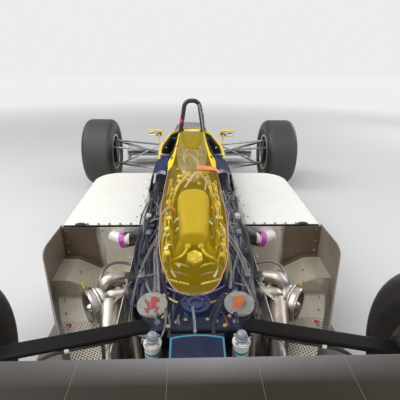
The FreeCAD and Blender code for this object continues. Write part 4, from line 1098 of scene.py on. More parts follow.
    def half_width(self, graph: Graph, x: Socket, column: int) -> Socket:
        """One of the shape's half widths at each place along the car.

        Args:
            graph: The material's graph.
            x: The place along the car.
            column: Which column of the shape gives the width.

        Returns:
            The half width in metres.
        """
        node = graph.add("FloatCurve")
        curve = node.mapping.curves[0]
        long = self.front - self.rear
        points = [((row[0] - self.rear) / long, row[column] / self.reach) for row in self.shape]
        curve.points[0].location = points[0]
        curve.points[-1].location = points[-1]
        for at, high in points[1:-1]:
            curve.points.new(at, high)
        node.mapping.update()
        graph.feed(node.inputs["Value"], graph.span(x, self.rear, self.front))
        return graph.times(node.outputs[0], self.reach)

    @staticmethod
    def oval(graph: Graph, x: Socket, y: Socket, centre: tuple[float, float], half: tuple[float, float]) -> Socket:
        """How far a place lies from an oval's centre, where one is its edge.

        Args:
            graph: The material's graph.
            x: The place along the car.
            y: The place across it.
            centre: The oval's centre.
            half: Its half length and half width.

        Returns:
            The distance, where one is the oval's edge.
        """
        parts = []
        for value, middle, size in zip((x, y), centre, half):
            parts.append(graph.math("ABSOLUTE", graph.math("DIVIDE", graph.math("SUBTRACT", value, middle), size)))
        return graph.far(*parts)


@dataclass(frozen=True)
class StudioFloor(Finish):
    """The pale floor, which glows into the surroundings far from the car."""

    specular: float = 0.1
    near: float = 3.2
    far: float = 9.0
    glow: Triple = (0.84, 0.84, 0.85)

    def dress(self, graph: Graph, shader: bpy.types.Node) -> None:
        """Fades the painted floor into plain light with its distance.

        Args:
            graph: The material's graph.
            shader: Its Principled shader.
        """
        away = graph.add("VectorMath", operation="LENGTH")
        graph.feed(away.inputs[0], graph.place())
        fade = graph.span(away.outputs["Value"], self.near, self.far)
        graph.feed(shader.inputs["Base Color"], graph.mix(fade, self.colour, (0.0, 0.0, 0.0)))
        graph.feed(shader.inputs["Emission Color"], graph.mix(fade, (0.0, 0.0, 0.0), self.glow))
        shader.inputs["Emission Strength"].default_value = 1.0


@dataclass(frozen=True)
class TubPaint(Paint):
    """The monocoque's paint outside, and bare dark composite inside the cockpit."""

    inside_colour: Triple = (0.012, 0.011, 0.01)
    # the cockpit's rear and front, the inner half width at both, and the rim's height
    cockpit: tuple[float, float] = (-0.09, 1.06)
    widths: tuple[float, float] = (0.262, 0.2)
    depth: tuple[float, float] = (0.12, 0.57)
    covered_x: float = -0.13

    def dress(self, graph: Graph, shader: bpy.types.Node) -> None:
        """Adds the paint and darkens the inside.

        Args:
            graph: The material's graph.
            shader: Its Principled shader.
        """
        super().dress(graph, shader)
        x, y, z = graph.apart(graph.place())
        half = graph.span(x, self.cockpit[0], self.cockpit[1], self.widths[0], self.widths[1])
        within = graph.span(graph.math("SUBTRACT", half, graph.math("ABSOLUTE", y)), -0.0005, 0.0005)
        deep = graph.between(z, self.depth[0], self.depth[1])
        within = graph.times(within, deep, graph.between(x, *self.cockpit))
        within = graph.math("MAXIMUM", within, graph.span(x, self.covered_x, self.covered_x - 0.001))
        self.over(graph, shader, within, self.inside_colour)
        graph.feed(shader.inputs["Coat Weight"], graph.line(within, -self.coat, self.coat))


@dataclass(frozen=True)
class RimPaint(Paint):
    """The cockpit rim's paint, dark across its rear bar and on the wall that faces the driver."""

    bar_x: float = 0.064
    bar_colour: Triple = (0.016, 0.03, 0.1)
    inner_colour: Triple = (0.014, 0.013, 0.012)
    lip_z: float = 0.603

    def dress(self, graph: Graph, shader: bpy.types.Node) -> None:
        """Adds the paint and darkens the rear bar and the inner wall.

        Args:
            graph: The material's graph.
            shader: Its Principled shader.
        """
        super().dress(graph, shader)
        x, y, z = graph.apart(graph.place())
        bar = graph.span(x, self.bar_x + 0.0005, self.bar_x)
        along, across, _ = graph.apart(graph.add("NewGeometry").outputs["Normal"])
        inward = graph.times(across, graph.math("SIGN", y), -1.0)
        rearward = graph.times(along, -1.0, graph.math("GREATER_THAN", x, 0.8))
        inner = graph.span(graph.math("MAXIMUM", inward, rearward), 0.55, 0.75)
        inner = graph.times(inner, graph.span(z, self.lip_z + 0.001, self.lip_z))
        body = graph.mix(inner, self.base(shader), self.inner_colour)
        graph.feed(shader.inputs["Base Color"], graph.mix(bar, body, self.bar_colour))


@dataclass(frozen=True)
class PadCloth(Cloth):
    """The headrest's cover: a pale panel over its top, dark round and below it."""

    half: float = 0.05
    foot: float = 0.784
    edge_colour: Triple = (0.045, 0.04, 0.03)

    def dress(self, graph: Graph, shader: bpy.types.Node) -> None:
        """Adds the weave and the two panels.

        Args:
            graph: The material's graph.
            shader: Its Principled shader.
        """
        super().dress(graph, shader)
        _, y, z = graph.apart(graph.place())
        pale = graph.times(graph.between(y, -self.half, self.half), graph.span(z, self.foot, self.foot + 0.001))
        body = self.base(shader)
        graph.feed(shader.inputs["Base Color"], graph.mix(pale, self.edge_colour, body))


# the finishes, by the piece of the car they cover
NAVY = Paint("navy_paint", (0.017, 0.032, 0.11))
TUB = TubPaint("tub_paint", (0.017, 0.032, 0.11), coat=0.35)
YELLOW = Paint("yellow_paint", (0.95, 0.66, 0.0), dust=0.1)
RIM = RimPaint("rim_paint", (0.95, 0.66, 0.0), dust=0.1)
WHITE = Paint("white_paint", (0.84, 0.83, 0.77), dust=0.12, coat=0.1, roughness=0.55, specular=0.3)
ORANGE = Paint("orange_tape", (0.85, 0.22, 0.04), coat=0.1, roughness=0.5)
RED = Paint("red_tape", (0.62, 0.03, 0.02), coat=0.1, roughness=0.5)
MAGENTA = Paint("magenta_clamp", (0.5, 0.03, 0.42), coat=0.4)
GREEN = Finish("green_connector", (0.05, 0.5, 0.22), roughness=0.35)
BLUE = Finish("blue_fitting", (0.03, 0.16, 0.5), roughness=0.3, metallic=0.8)
BLACK_TUBE = Paint("black_tube", (0.013, 0.012, 0.012), roughness=0.45, coat=0.25, dust=0.05)
BARE = Composite("bare_composite", (0.2, 0.168, 0.135), roughness=0.52, contrast=0.16, pitch=0.003)
CARBON = Composite("dark_carbon", (0.03, 0.027, 0.023), roughness=0.34, coat=0.3, contrast=0.3)
WING = Composite(
    "wing_carbon",
    (0.022, 0.018, 0.011),
    roughness=0.46,
    bump=0.02,
    specular=0.22,
    contrast=0.03,
    rib_pitch=0.0034,
    pitch=0.0016,
    seam_pitch=0.093,
    highlight_x=-1.902,
)
ARM = Composite("arm_carbon", (0.006, 0.0055, 0.004), roughness=0.36, coat=0.0, contrast=0.25, specular=0.12)
LINER = LinerSheet("bright_alloy", (0.82, 0.77, 0.68))
HOT = HotSteel("hot_steel", (0.45, 0.42, 0.37))
CAST = Metal("cast_alloy", (0.5, 0.46, 0.38), roughness=0.46, metallic=0.8)
BLOCK = Metal("engine_block", (0.06, 0.055, 0.045), roughness=0.42, metallic=0.5, stained=0.25)
PLENUM = Chamber(
    "plenum_alloy", (0.66, 0.48, 0.04), roughness=0.5, scale=420.0, stained=0.12, metallic=0.2, specular=0.2
)
DARK_CAST = Metal("magnesium", (0.016, 0.021, 0.038), roughness=0.42, metallic=0.3, specular=0.35)
STEEL = Metal("grey_steel", (0.42, 0.42, 0.43), roughness=0.3)
BOLT_STEEL = Metal("bolt_steel", (0.55, 0.53, 0.48), roughness=0.28, stained=0.2)
GOLD = Metal("gold_fitting", (0.95, 0.68, 0.08), roughness=0.26, stained=0.1, metallic=0.45)
BRASS = Metal("brass_pipe", (0.86, 0.68, 0.2), roughness=0.3, stained=0.15, metallic=0.35)
CORE = Metal("core", (0.16, 0.16, 0.17), roughness=0.5)
HOSE = Finish("black_hose", (0.02, 0.02, 0.022), roughness=0.55)
GREY_HOSE = Finish("grey_hose", (0.3, 0.29, 0.27), roughness=0.5)
LIGHT_HOSE = Metal("light_braid", (0.62, 0.6, 0.55), roughness=0.42, scale=900.0, metallic=0.6)
BRAID = Metal("braided_hose", (0.3, 0.3, 0.31), roughness=0.42, scale=900.0)
DUCTING = Finish("white_plastic", (0.72, 0.7, 0.64), roughness=0.42)
DUCT = Sided("white_duct", (0.78, 0.76, 0.72), roughness=0.4)
TANK = Banded("white_tank", (0.78, 0.78, 0.74), roughness=0.35, bands=((0.401, 0.409), (0.416, 0.424)))
TANK_TOP = Finish("tank_top", (0.24, 0.26, 0.3), roughness=0.18, coat=0.4)
FROSTED = Banded("frosted", (0.5, 0.5, 0.43), roughness=0.4, bands=((0.28, 0.444),), band_colour=(0.3, 0.23, 0.14))
STEM = Finish("brown_stem", (0.26, 0.19, 0.11), roughness=0.45)
LABEL = Finish("teal_label", (0.06, 0.32, 0.5), roughness=0.35)
TAIL = PanelPaint("tail_paint", (0.014, 0.019, 0.05))
SHELL = CoverShell("clear_shell", (0.012, 0.022, 0.06))
SCREEN = Glass("screen", (0.55, 0.56, 0.58))
SILVERED = Metal("mirror_glass", (0.85, 0.86, 0.87), roughness=0.04, stained=0.05)
PAD_COVER = PadCloth("pad_cover", (0.82, 0.82, 0.84))
SEAT_CLOTH = Cloth("seat_pad", (0.028, 0.028, 0.032))
WEBBING = Cloth("belt_webbing", (0.03, 0.05, 0.16), pitch=0.0022)
SUEDE = Cloth("wheel_grip", (0.02, 0.02, 0.02), pitch=0.0009)
DIAL = Finish("dial_face", (0.015, 0.015, 0.015), roughness=0.25, coat=0.5)
FLOOR = StudioFloor("studio_floor", (0.66, 0.66, 0.655), roughness=0.85)


# ---- modelling ------------------------------------------------------------------------------------
def to_side(side: int, *points: Point) -> list[Point]:
    """Mirrors points given for the left side when the side is the right one."""
    return [(x, side * y, z) for x, y, z in points]


class Bench:
    """Models pieces with the editor's own operations and sends them off finished."""

    def __init__(self) -> None:
        """Starts with an empty count."""
        self.count = 0

    @staticmethod
    def start() -> None:
        """Leaves edit mode and deselects everything."""
        if bpy.context.object and bpy.context.object.mode != "OBJECT":
            bpy.ops.object.mode_set(mode="OBJECT")
        bpy.ops.object.select_all(action="DESELECT")

    def hold(self, piece: Thing) -> None:
        """Makes a piece the only selected one, and the active one.

        Args:
            piece: The piece.
        """
        self.start()
        piece.select_set(True)
        bpy.context.view_layer.objects.active = piece

    @staticmethod
    def open_mesh() -> None:
        """Enters edit mode with the whole mesh selected."""
        bpy.ops.object.mode_set(mode="EDIT")
        bpy.ops.mesh.select_all(action="SELECT")

    @staticmethod
    def close_mesh() -> None:
        """Turns all faces outwards and leaves edit mode."""
        bpy.ops.mesh.select_all(action="SELECT")
        bpy.ops.mesh.normals_make_consistent(inside=False)
        bpy.ops.object.mode_set(mode="OBJECT")

    @staticmethod
    def push(step: Point) -> None:
        """Extrudes what is selected by a step."""
        bpy.ops.mesh.extrude_region_move(TRANSFORM_OT_translate={"value": tuple(step)})

    @staticmethod
    def stand(piece: Thing, foot: Point, way: Point) -> None:
        """Sets a piece that points up on its foot, pointing another way."""
        turn = Vector(UP).rotation_difference(Vector(way)).to_matrix().to_4x4()
        piece.matrix_world = Matrix.Translation(Vector(foot)) @ turn

    def thicken(self, piece: Thing, wall: float) -> None:
        """Gives an open strip a wall.

        Args:
            piece: The strip.
            wall: The wall's thickness.
        """
        self.hold(piece)
        made = piece.modifiers.new("wall", "SOLIDIFY")
        made.thickness = wall
        made.offset = 0.0
        bpy.ops.object.modifier_apply(modifier=made.name)

    def strip(self, points: Sequence[Point], across: Point, wall: float) -> Thing:
        """Draws a chain of edges, pushes it out sideways and gives it a wall.

        Args:
            points: The chain's corners.
            across: The vector from one long edge to the other.
            wall: The wall's thickness.

        Returns:
            The strip.
        """
        piece = self.profile(points)
        bpy.ops.mesh.select_all(action="SELECT")
        self.push(across)
        bpy.ops.object.mode_set(mode="OBJECT")
        self.thicken(piece, wall)
        return piece

    def tube(self, route: Sequence[Point], radius: float, name: str, finish: Finish, body: str = CHASSIS) -> None:
        """Bends a pipe as one finished piece.

        Args:
            route: The line's control points.
            radius: The pipe's outer radius.
            name: Its plain name.
            finish: What covers it.
            body: The body it moves with.
        """
        self.ship(self.pipe(route, radius), name, finish, body)

    def bolts(self, size: float, places: Sequence[Place], name: str, finish: Finish, body: str = CHASSIS) -> None:
        """Sets a row of bolt heads as one finished piece.

        Args:
            size: Each hexagon's radius.
            places: Each bolt's foot and the way it points.
            name: The row's plain name.
            finish: What covers it.
            body: The body it moves with.
        """
        self.ship(self.row(self.bolt(size), places), name, finish, body)

    def chunk(self, at: Vector, half: Point, bevel: float, rise: float = 0.0) -> Thing:
        """Models a block about its middle.

        Args:
            at: Its middle.
            half: Half its size along each axis.
            bevel: How far its edges are rounded.
            rise: How much further it reaches up than down.

        Returns:
            The block.
        """
        return self.block(at - Vector(half), at + Vector((half[0], half[1], half[2] + rise)), bevel)

    def ship(self, piece: Thing, name: str, finish: Finish, body: str = CHASSIS, angle: float = 35.0) -> Thing:
        """Names a piece, applies its place, shades it and sets it to ride on its body.

        Args:
            piece: The modelled object.
            name: Its plain name.
            finish: What covers it.
            body: The body it moves with.
            angle: Edges flatter than this are shaded smooth, in degrees.

        Returns:
            The finished piece.
        """
        self.hold(piece)
        bpy.ops.object.transform_apply(location=True, rotation=True, scale=True)
        bpy.ops.object.shade_smooth_by_angle(angle=math.radians(angle))
        piece.name = name
        piece.data.name = name
        piece.data.materials.clear()
        piece.data.materials.append(finish.material())
        piece.select_set(False)
        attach(piece, body)
        self.count += 1
        LOG.info("%s rides on %s", name, body)
        return piece

    def block(self, low: Point, high: Point, bevel: float = 0.002, steps: int = 2) -> Thing:
        """Models a block with rounded edges.

        Args:
            low: Its lowest corner.
            high: Its highest corner.
            bevel: How far its edges are rounded.
            steps: The rounding's segments.

        Returns:
            The block.
        """
        self.start()
        low_corner, high_corner = Vector(low), Vector(high)
        bpy.ops.mesh.primitive_cube_add(size=1.0, location=(low_corner + high_corner) / 2)
        piece = bpy.context.object
        piece.scale = high_corner - low_corner
        bpy.ops.object.transform_apply(location=True, rotation=True, scale=True)
        self.open_mesh()
        bpy.ops.mesh.bevel(offset=bevel, segments=steps, affect="EDGES")
        bpy.ops.object.mode_set(mode="OBJECT")
        return piece

    def profile(self, points: Sequence[Point]) -> Thing:
        """Draws a chain of edges, one extruded from the other, and leaves it in edit mode.

        Args:
            points: The chain's corners.

        Returns:
            The object that holds the chain.
        """
        self.start()
        bpy.ops.mesh.primitive_plane_add(size=0.001, location=ORIGIN)
        piece = bpy.context.object
        self.open_mesh()
        bpy.ops.mesh.merge(type="CENTER")
        bpy.ops.transform.translate(value=tuple(points[0]))
        for before, after in zip(points, points[1:]):
            self.push([b - a for a, b in zip(before, after)])
        return piece

    def lathe(self, outline: Sequence[tuple[float, float]], centre: Point, axis: Point, steps: int = 32) -> Thing:
        """Turns an outline about an axis.

        Args:
            outline: Its points: radius, and distance along the axis.
            centre: Where the axis starts.
            axis: The axis.
            steps: How many flats go round.

        Returns:
            The turned piece.
        """
        piece = self.profile([(radius, 0.0, along) for radius, along in outline])
        bpy.ops.mesh.select_all(action="SELECT")
        bpy.ops.mesh.spin(steps=steps, angle=math.tau, center=ORIGIN, axis=UP)
        bpy.ops.mesh.select_all(action="SELECT")
        bpy.ops.mesh.remove_doubles(threshold=WELD)
        self.close_mesh()
        self.stand(piece, centre, axis)
        return piece

    def plate(self, outline: Sequence[Point], push: Point, bevel: float = 0.0) -> Thing:
        """Fills an outline and pushes it out to a plate.

        Args:
            outline: Its corners in order.
            push: The vector from one face to the other.
            bevel: How far its edges are rounded.

        Returns:
            The plate.
        """
        piece = self.profile(outline)
        bpy.ops.mesh.select_all(action="SELECT")
        bpy.ops.mesh.edge_face_add()
        self.push(push)
        bpy.ops.mesh.select_all(action="SELECT")
        bpy.ops.mesh.normals_make_consistent(inside=False)
        if bevel:
            bpy.ops.mesh.bevel(offset=bevel, segments=2, affect="EDGES")
        bpy.ops.object.mode_set(mode="OBJECT")
        return piece

    def pipe(self, route: Sequence[Point], radius: float, sides: int = 3, steps: int = 6) -> Thing:
        """Bends a round pipe along a smooth line and caps its ends.

        Args:
            route: The line's control points.
            radius: The pipe's outer radius.
            sides: How finely its round is divided.
            steps: How finely its length is divided between two points.

        Returns:
            The pipe as a mesh.
        """
        curve = bpy.data.curves.new("route", "CURVE")
        curve.dimensions = "3D"
        curve.bevel_depth = radius
        curve.bevel_resolution = sides
        curve.resolution_u = steps
        curve.use_fill_caps = True
        line = curve.splines.new("NURBS")
        line.points.add(len(route) - 1)
        for point, place in zip(line.points, route):
            point.co = (*place, 1.0)
        line.order_u = 3
        line.use_endpoint_u = True
        piece = bpy.data.objects.new("route", curve)
        bpy.context.scene.collection.objects.link(piece)
        self.hold(piece)
        bpy.ops.object.convert(target="MESH")
        piece = bpy.context.object
        self.open_mesh()
        bpy.ops.mesh.remove_doubles(threshold=WELD)
        self.close_mesh()
        return piece

    def bolt(self, size: float = 0.006) -> Thing:
        """Models a flanged hexagon bolt head that stands on the origin, pointing up.

        Args:
            size: The hexagon's radius.

        Returns:
            The bolt head.
        """
        self.start()
        bpy.ops.mesh.primitive_circle_add(vertices=12, radius=size * 1.45, fill_type="NGON")
        piece = bpy.context.object
        self.open_mesh()
        self.push((0.0, 0.0, size * 0.25))
        bpy.ops.mesh.inset(thickness=size * 0.45)
        self.push((0.0, 0.0, size * 0.7))
        bpy.ops.mesh.inset(thickness=size * 0.2)
        self.push((0.0, 0.0, -size * 0.2))
        self.close_mesh()
        return piece

    def row(self, model: Thing, places: Iterable[Place]) -> Thing:
        """Copies a model to many places and joins the copies into one piece.

        Args:
            model: A piece that stands on the origin and points up. It is used up.
            places: Each copy's foot and the way it points.

        Returns:
            The joined piece.
        """
        self.start()
        copies = []
        for foot, way in places:
            copy = model.copy()
            copy.data = model.data.copy()
            self.stand(copy, foot, way)
            bpy.context.scene.collection.objects.link(copy)
            copies.append(copy)
        bpy.data.objects.remove(model)
        return self.join(copies)

    def join(self, pieces: Sequence[Thing]) -> Thing:
        """Joins pieces into one object and returns it.

        Args:
            pieces: The pieces, of which the first takes in the rest.

        Returns:
            The joined piece.
        """
        self.start()
        for piece in pieces:
            piece.select_set(True)
        bpy.context.view_layer.objects.active = pieces[0]
        if len(pieces) > 1:
            bpy.ops.object.join()
        return bpy.context.view_layer.objects.active


BENCH = Bench()


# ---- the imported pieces' finishes ------------------------------------------------------------------
@dataclass
class BodyFinishes:
    """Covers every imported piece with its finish."""

    # each finish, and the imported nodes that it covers
    plain: tuple[tuple[Finish, str], ...] = (
        (TUB, "monocoque"),
        (YELLOW, "nose_cone mirrors"),
        (RIM, "cockpit_rim"),
        (SCREEN, "windscreen"),
        (CARBON, "seat front_wing"),
        (BLACK_TUBE, "roll_hoop"),
        (WHITE, "front_wing_endplates pod_covers rear_wing_endplates"),
        (BARE, "undertray bay_walls"),
        (LINER, "heat_shields"),
        (CORE, "radiators"),
        (WING, "rear_wing"),
        (BLOCK, "engine"),
        (PLENUM, "plenum"),
        (DARK_CAST, "gearbox rear_uprights front_left_upright front_right_upright"),
        (ARM, "rear_upper_arms"),
        (STEEL, "rear_lower_links front_wishbones track_rods"),
        (HOT, "turbochargers"),
        (DUCT, "charge_ducts"),
        (SHELL, "engine_cover"),
        (TAIL, "tail_panel"),
        (TANK, "reservoirs"),
        (FROSTED, "blanking_discs"),
        (SUEDE, "steering_wheel"),
    )
    tyre_colour: Triple = (0.027, 0.025, 0.024)
    rim_colour: Triple = (0.6, 0.57, 0.5)
    disc_colour: Triple = (0.3, 0.29, 0.28)

    def dress(self) -> None:
        """Gives each node its material."""
        for finish, names in self.plain:
            for name in names.split():
                self.cover(name, finish)
        for axle, x in (("front", FRONT_AXLE), ("rear", REAR_AXLE)):
            for side, _ in SIDES:
                stem = f"{axle}_{side}"
                low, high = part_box(stem + "_tyre")
                centre = (x, (low.y + high.y) / 2, (low.z + high.z) / 2)
                radius = (high.z - low.z) / 2
                self.cover(
                    stem + "_tyre", Rubber(stem + "_rubber", self.tyre_colour, centre=centre, tread_radius=radius)
                )
                self.cover(stem + "_rim", Turned(stem + "_rim_metal", self.rim_colour, 0.3, centre=centre))
                self.cover(stem + "_hub", Turned(stem + "_disc", self.disc_colour, 0.36, centre=centre, pitch=0.0024))

    @staticmethod
    def cover(name: str, finish: Finish) -> None:
        """Replaces one node's materials.

        Args:
            name: The node.
            finish: Its finish.
        """
        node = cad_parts[name]
        node.data.materials.clear()
        node.data.materials.append(finish.material())
        for face in node.data.polygons:
            face.use_smooth = True
        BENCH.hold(node)
        bpy.ops.object.shade_smooth_by_angle(angle=math.radians(32.0))
        node.select_set(False)


# ---- engine ---------------------------------------------------------------------------------------
@dataclass
class EngineDressing:
    """Looms, hoses, injectors and caps over and beside the engine."""

    looms: int = 15
    seed: int = 7

    def dress(self) -> None:
        """Builds all the dressing."""
        self.filler_cap()
        self.plenum_flange()
        self.injectors()
        self.rails()
        self.side_looms()
        self.cover_looms()
        self.front_cluster()
        self.plugs()
        self.cam_covers()

    def filler_cap(self) -> None:
        """The hexagonal cap between the plenum and the gearbox, with its ring of screws."""
        centre = Vector((-1.0434, 0.0, 0.5027))
        lean = Vector((-0.35, 0.0, 1.0)).normalized()
        hexagon = BENCH.lathe(
            [
                (0.0, 0.004), (0.013, 0.004), (0.016, 0.0015), (0.025, 0.0015), (0.03, 0.0045), (0.033, 0.0045),
                (0.033, -0.008),
            ],
            centre,
            lean,
            steps=6,
        )
        BENCH.ship(hexagon, "filler_cap_top", GOLD)
        side = lean.cross(LEFT)
        places = []
        for i in range(6):
            turn = math.tau * (i + 0.5) / 6
            at = centre + (side * math.cos(turn) + LEFT * math.sin(turn)) * 0.0215 + lean * 0.0015
            places.append((at, lean))
        BENCH.bolts(0.0028, places, "filler_cap_screws", BOLT_STEEL)
        for i, y in enumerate((-0.055, 0.055)):
            nut = BENCH.row(BENCH.bolt(0.009), [((-0.945, y * 0.5, 0.494), lean)])
            BENCH.ship(nut, f"filler_side_nut_{i}", GOLD)

    def plenum_flange(self) -> None:
        """Two ribs round the plenum's front end, and the bosses along its sides."""
        half, top = 0.083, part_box("plenum")[1].z + 0.004
        for i, x in enumerate((-0.486, -0.5)):
            y = half - 0.004 * i
            ring = [(x, -y, 0.50), (x, -y, top - 0.03), (x, -y * 0.7, top - 0.006), (x, 0.0, top)]
            ring += [(x, y * 0.7, top - 0.006), (x, y, top - 0.03), (x, y, 0.50)]
            BENCH.ship(BENCH.pipe(ring, 0.0032, sides=2), f"plenum_flange_{i}", BOLT_STEEL)
        for side, s in SIDES:
            for i, x in enumerate((-0.56, -0.70, -0.84)):
                slope = 0.652 - (x + 0.47) * -0.17
                foot = (x, s * 0.079, slope - 0.115)
                boss = BENCH.lathe(
                    [(0.0, 0.01), (0.007, 0.01), (0.009, 0.007), (0.009, -0.004)], foot, (0.0, s, 0.35), 16
                )
                BENCH.ship(boss, f"plenum_boss_{side}_{i}", CAST)

    def injectors(self) -> None:
        """An injector with a coloured plug at each runner."""
        for side, s in SIDES:
            for i, x in enumerate((-0.64, -0.77, -0.90)):
                foot = Vector((x, s * 0.098, 0.452))
                way = Vector((-0.2, s * 0.4, 1.0))
                body = BENCH.lathe(
                    [
                        (0.0, 0.034), (0.006, 0.034), (0.008, 0.03), (0.008, 0.014), (0.011, 0.011), (0.011, 0.0)
                    ], foot, way, 16
                )
                BENCH.ship(body, f"injector_{side}_{i}", GOLD)
                tip = foot + way.normalized() * 0.036
                plug = BENCH.chunk(tip, (0.012, 0.006, 0.006), 0.002, 0.002)
                BENCH.ship(plug, f"injector_plug_{side}_{i}", GREEN if (i + (s > 0)) % 2 else DUCTING)

    def rails(self) -> None:
        """The fuel rails and the bright pipes beside the plenum."""
        for side, s in SIDES:
            for i, (y, z, radius, finish) in enumerate(
                ((0.118, 0.472, 0.0065, BOLT_STEEL), (0.138, 0.452, 0.008, GOLD), (0.158, 0.436, 0.006, BRAID))
            ):
                route = [(-0.50, s * (y - 0.02), z + 0.02), (-0.56, s * y, z + 0.01), (-0.75, s * (y + 0.004), z)]
                route += [
                    (-0.93, s * y, z - 0.004), (-1.02, s * (y - 0.012), z - 0.02), (-1.07, s * (y - 0.045), z - 0.045)
                ]
                BENCH.tube(route, radius, f"rail_{side}_{i}", finish)
            for i, x in enumerate((-0.62, -0.75, -0.88)):
                clip = BENCH.block(
                    (x - 0.005, s * 0.139 - 0.034, 0.446), (x + 0.005, s * 0.139 + 0.034, 0.478), 0.003
                )
                BENCH.ship(clip, f"rail_clip_{side}_{i}", STEEL)
            bridge = to_side(s, (-1.0, 0.1, 0.45), (-1.03, 0.075, 0.49), (-1.03, 0.045, 0.5), (-1.01, 0.03, 0.52))
            BENCH.tube(bridge, 0.0055, f"return_pipe_{side}", GOLD)

    def side_looms(self) -> None:
        """Hoses and looms along the engine's sides, under the clear edge of the cover."""
        draw = random.Random(self.seed)
        finishes = (HOSE, BRAID, HOSE, HOSE, GREY_HOSE, HOSE, HOSE, BRAID)
        # place along the car, height of the bundle's inner side
        line = (
            (-0.44, 0.565), (-0.56, 0.56), (-0.68, 0.545), (-0.8, 0.52), (-0.93, 0.5), (-1.05, 0.472), (-1.17, 0.438)
        )
        for side, s in SIDES:
            for i in range(self.looms):
                y = 0.145 + 0.1 * i / self.looms
                drop = 0.3 * (y - 0.145) + draw.uniform(0.004, 0.03)
                radius = draw.choice((0.0035, 0.0045, 0.006, 0.0075))
                route = []
                for k, (x, top) in enumerate(line):
                    narrow = 0.016 * max(0, k - 4)
                    wander = draw.uniform(-0.018, 0.018)
                    route.append(
                        (
                            x + draw.uniform(-0.03, 0.03),
                            s * (y + wander - narrow),
                            top - drop + draw.uniform(-0.02, 0.002),
                        ),
                    )
                BENCH.tube(route, radius, f"side_loom_{side}_{i}", finishes[i % len(finishes)])
            for i in range(6):
                x = -0.5 - 0.115 * i + draw.uniform(-0.045, 0.045)
                skew = draw.uniform(-0.06, 0.07)
                top = 0.56 - max(0.0, -0.6 - x) * 0.2
                arc = [
                    (x, s * 0.14, top - 0.025),
                    (x + skew * 0.3, s * 0.18, top - 0.015),
                    (x + skew * 0.6, s * 0.212, top - 0.04),
                ]
                arc += [
                    (x + skew, s * 0.233, top - 0.08),
                    (x + skew * 1.3, s * 0.24, top - 0.13),
                    (x + skew, s * 0.242, 0.36),
                ]
                BENCH.tube(
                    arc, draw.choice((0.003, 0.0045)), f"cross_hose_{side}_{i}", (HOSE, HOSE, GREY_HOSE)[i % 3]
                )
            self.fine_wires(side, s, draw)
            for i in range(5):
                x = -0.56 - 0.13 * i
                at = Vector((x, s * (0.2 + 0.012 * (i % 2)), 0.535 - 0.022 * i))
                box = BENCH.chunk(at, (0.02, 0.012, 0.009), 0.003)
                BENCH.ship(box, f"loom_box_{side}_{i}", (HOSE, DUCTING, STEEL, HOSE, STEEL)[i])
                fitting = BENCH.row(
                    BENCH.bolt(0.006), [(at + Vector((0.03, s * 0.012, -0.002)), (0.3, s * 0.4, 1.0))]
                )
                BENCH.ship(fitting, f"loom_fitting_{side}_{i}", BLUE if i % 2 else BOLT_STEEL)
            self.fittings(side, s, draw)

    def fine_wires(self, side: str, s: int, draw: random.Random) -> None:
        """Thin pale leads that wander over the looms.

        Args:
            side: The side's name.
            s: Its sign.
            draw: The source of their spread.
        """
        leads = []
        for _ in range(5):
            x, y = draw.uniform(-0.95, -0.45), draw.uniform(0.15, 0.215)
            route = []
            for _ in range(6):
                top = 0.562 - max(0.0, -0.56 - x) * 0.2 - (y - 0.145) * 0.42
                route.append((x, s * y, top + draw.uniform(0.0, 0.006)))
                x -= draw.uniform(0.01, 0.075)
                y = min(0.222, max(0.148, y + draw.uniform(-0.035, 0.035)))
            leads.append(BENCH.pipe(route, draw.choice((0.0014, 0.0018, 0.0022)), sides=2, steps=5))
        for _ in range(10 if s < 0 else 3):
            slack, low, near = draw.uniform(-0.05, 0.04), draw.uniform(0.0, 0.02), draw.uniform(0.0, 0.045)
            path = (
                (-0.86, 0.15, 0.54), (-0.96, 0.195, 0.505), (-1.06, 0.228, 0.452), (-1.15, 0.236, 0.415),
                (-1.22, 0.238, 0.375),
            )
            route = [(x + slack, s * (y - near + draw.uniform(-0.012, 0.0)), z - low) for x, y, z in path]
            leads.append(BENCH.pipe(route, draw.choice((0.001, 0.0013, 0.0018)), sides=2, steps=5))
        BENCH.ship(BENCH.join(leads), f"fine_leads_{side}", GREY_HOSE)

    def front_cluster(self) -> None:
        """Valves, unions and elbows that crowd round and over the plenum's front end."""
        draw = random.Random(self.seed + 2)
        unions: list[tuple[Point, Point]] = []
        for i in range(22):
            s = -1 if i % 2 else 1
            start = (draw.uniform(-0.41, -0.3), s * draw.uniform(0.02, 0.09), 0.556)
            rise = (start[0] - 0.01, start[1] * 1.05, draw.uniform(0.6, 0.645))
            over = (draw.uniform(-0.58, -0.46), s * draw.uniform(0.02, 0.085), 0.0)
            over = (over[0], over[1], self.roof(over[0]) - draw.uniform(0.016, 0.024))
            beside = (draw.uniform(-0.65, -0.56), s * draw.uniform(0.085, 0.105), draw.uniform(0.59, 0.625))
            end = (draw.uniform(-0.7, -0.6), s * draw.uniform(0.095, 0.12), 0.5)
            pipe = BENCH.pipe(
                [start, rise, over, beside, end], draw.choice((0.0032, 0.0045, 0.006)), sides=3, steps=5
            )
            BENCH.ship(pipe, f"front_pipe_{i}", (BRASS, GOLD, HOSE, BRAID, BRASS)[i % 5])
            unions += [
                (rise, (draw.uniform(-0.6, 0.2), s * 0.4, 1.0)), (over, (draw.uniform(-0.8, 0.0), s * 0.2, 1.0))
            ]
        BENCH.bolts(0.0075, unions[::2], "front_unions", GOLD)
        BENCH.bolts(0.0062, unions[1::2], "front_banjos", BRASS)
        for i, (x, y) in enumerate(((-0.345, 0.062), (-0.37, -0.07), (-0.41, 0.02))):
            valve = BENCH.lathe(
                [
                    (0.0, 0.05), (0.01, 0.05), (0.013, 0.045), (0.013, 0.03), (0.018, 0.027), (0.018, 0.012),
                    (0.012, 0.008), (0.012, -0.03),
                ],
                (x, y, 0.586),
                (-0.15, y, 1.0),
                20,
            )
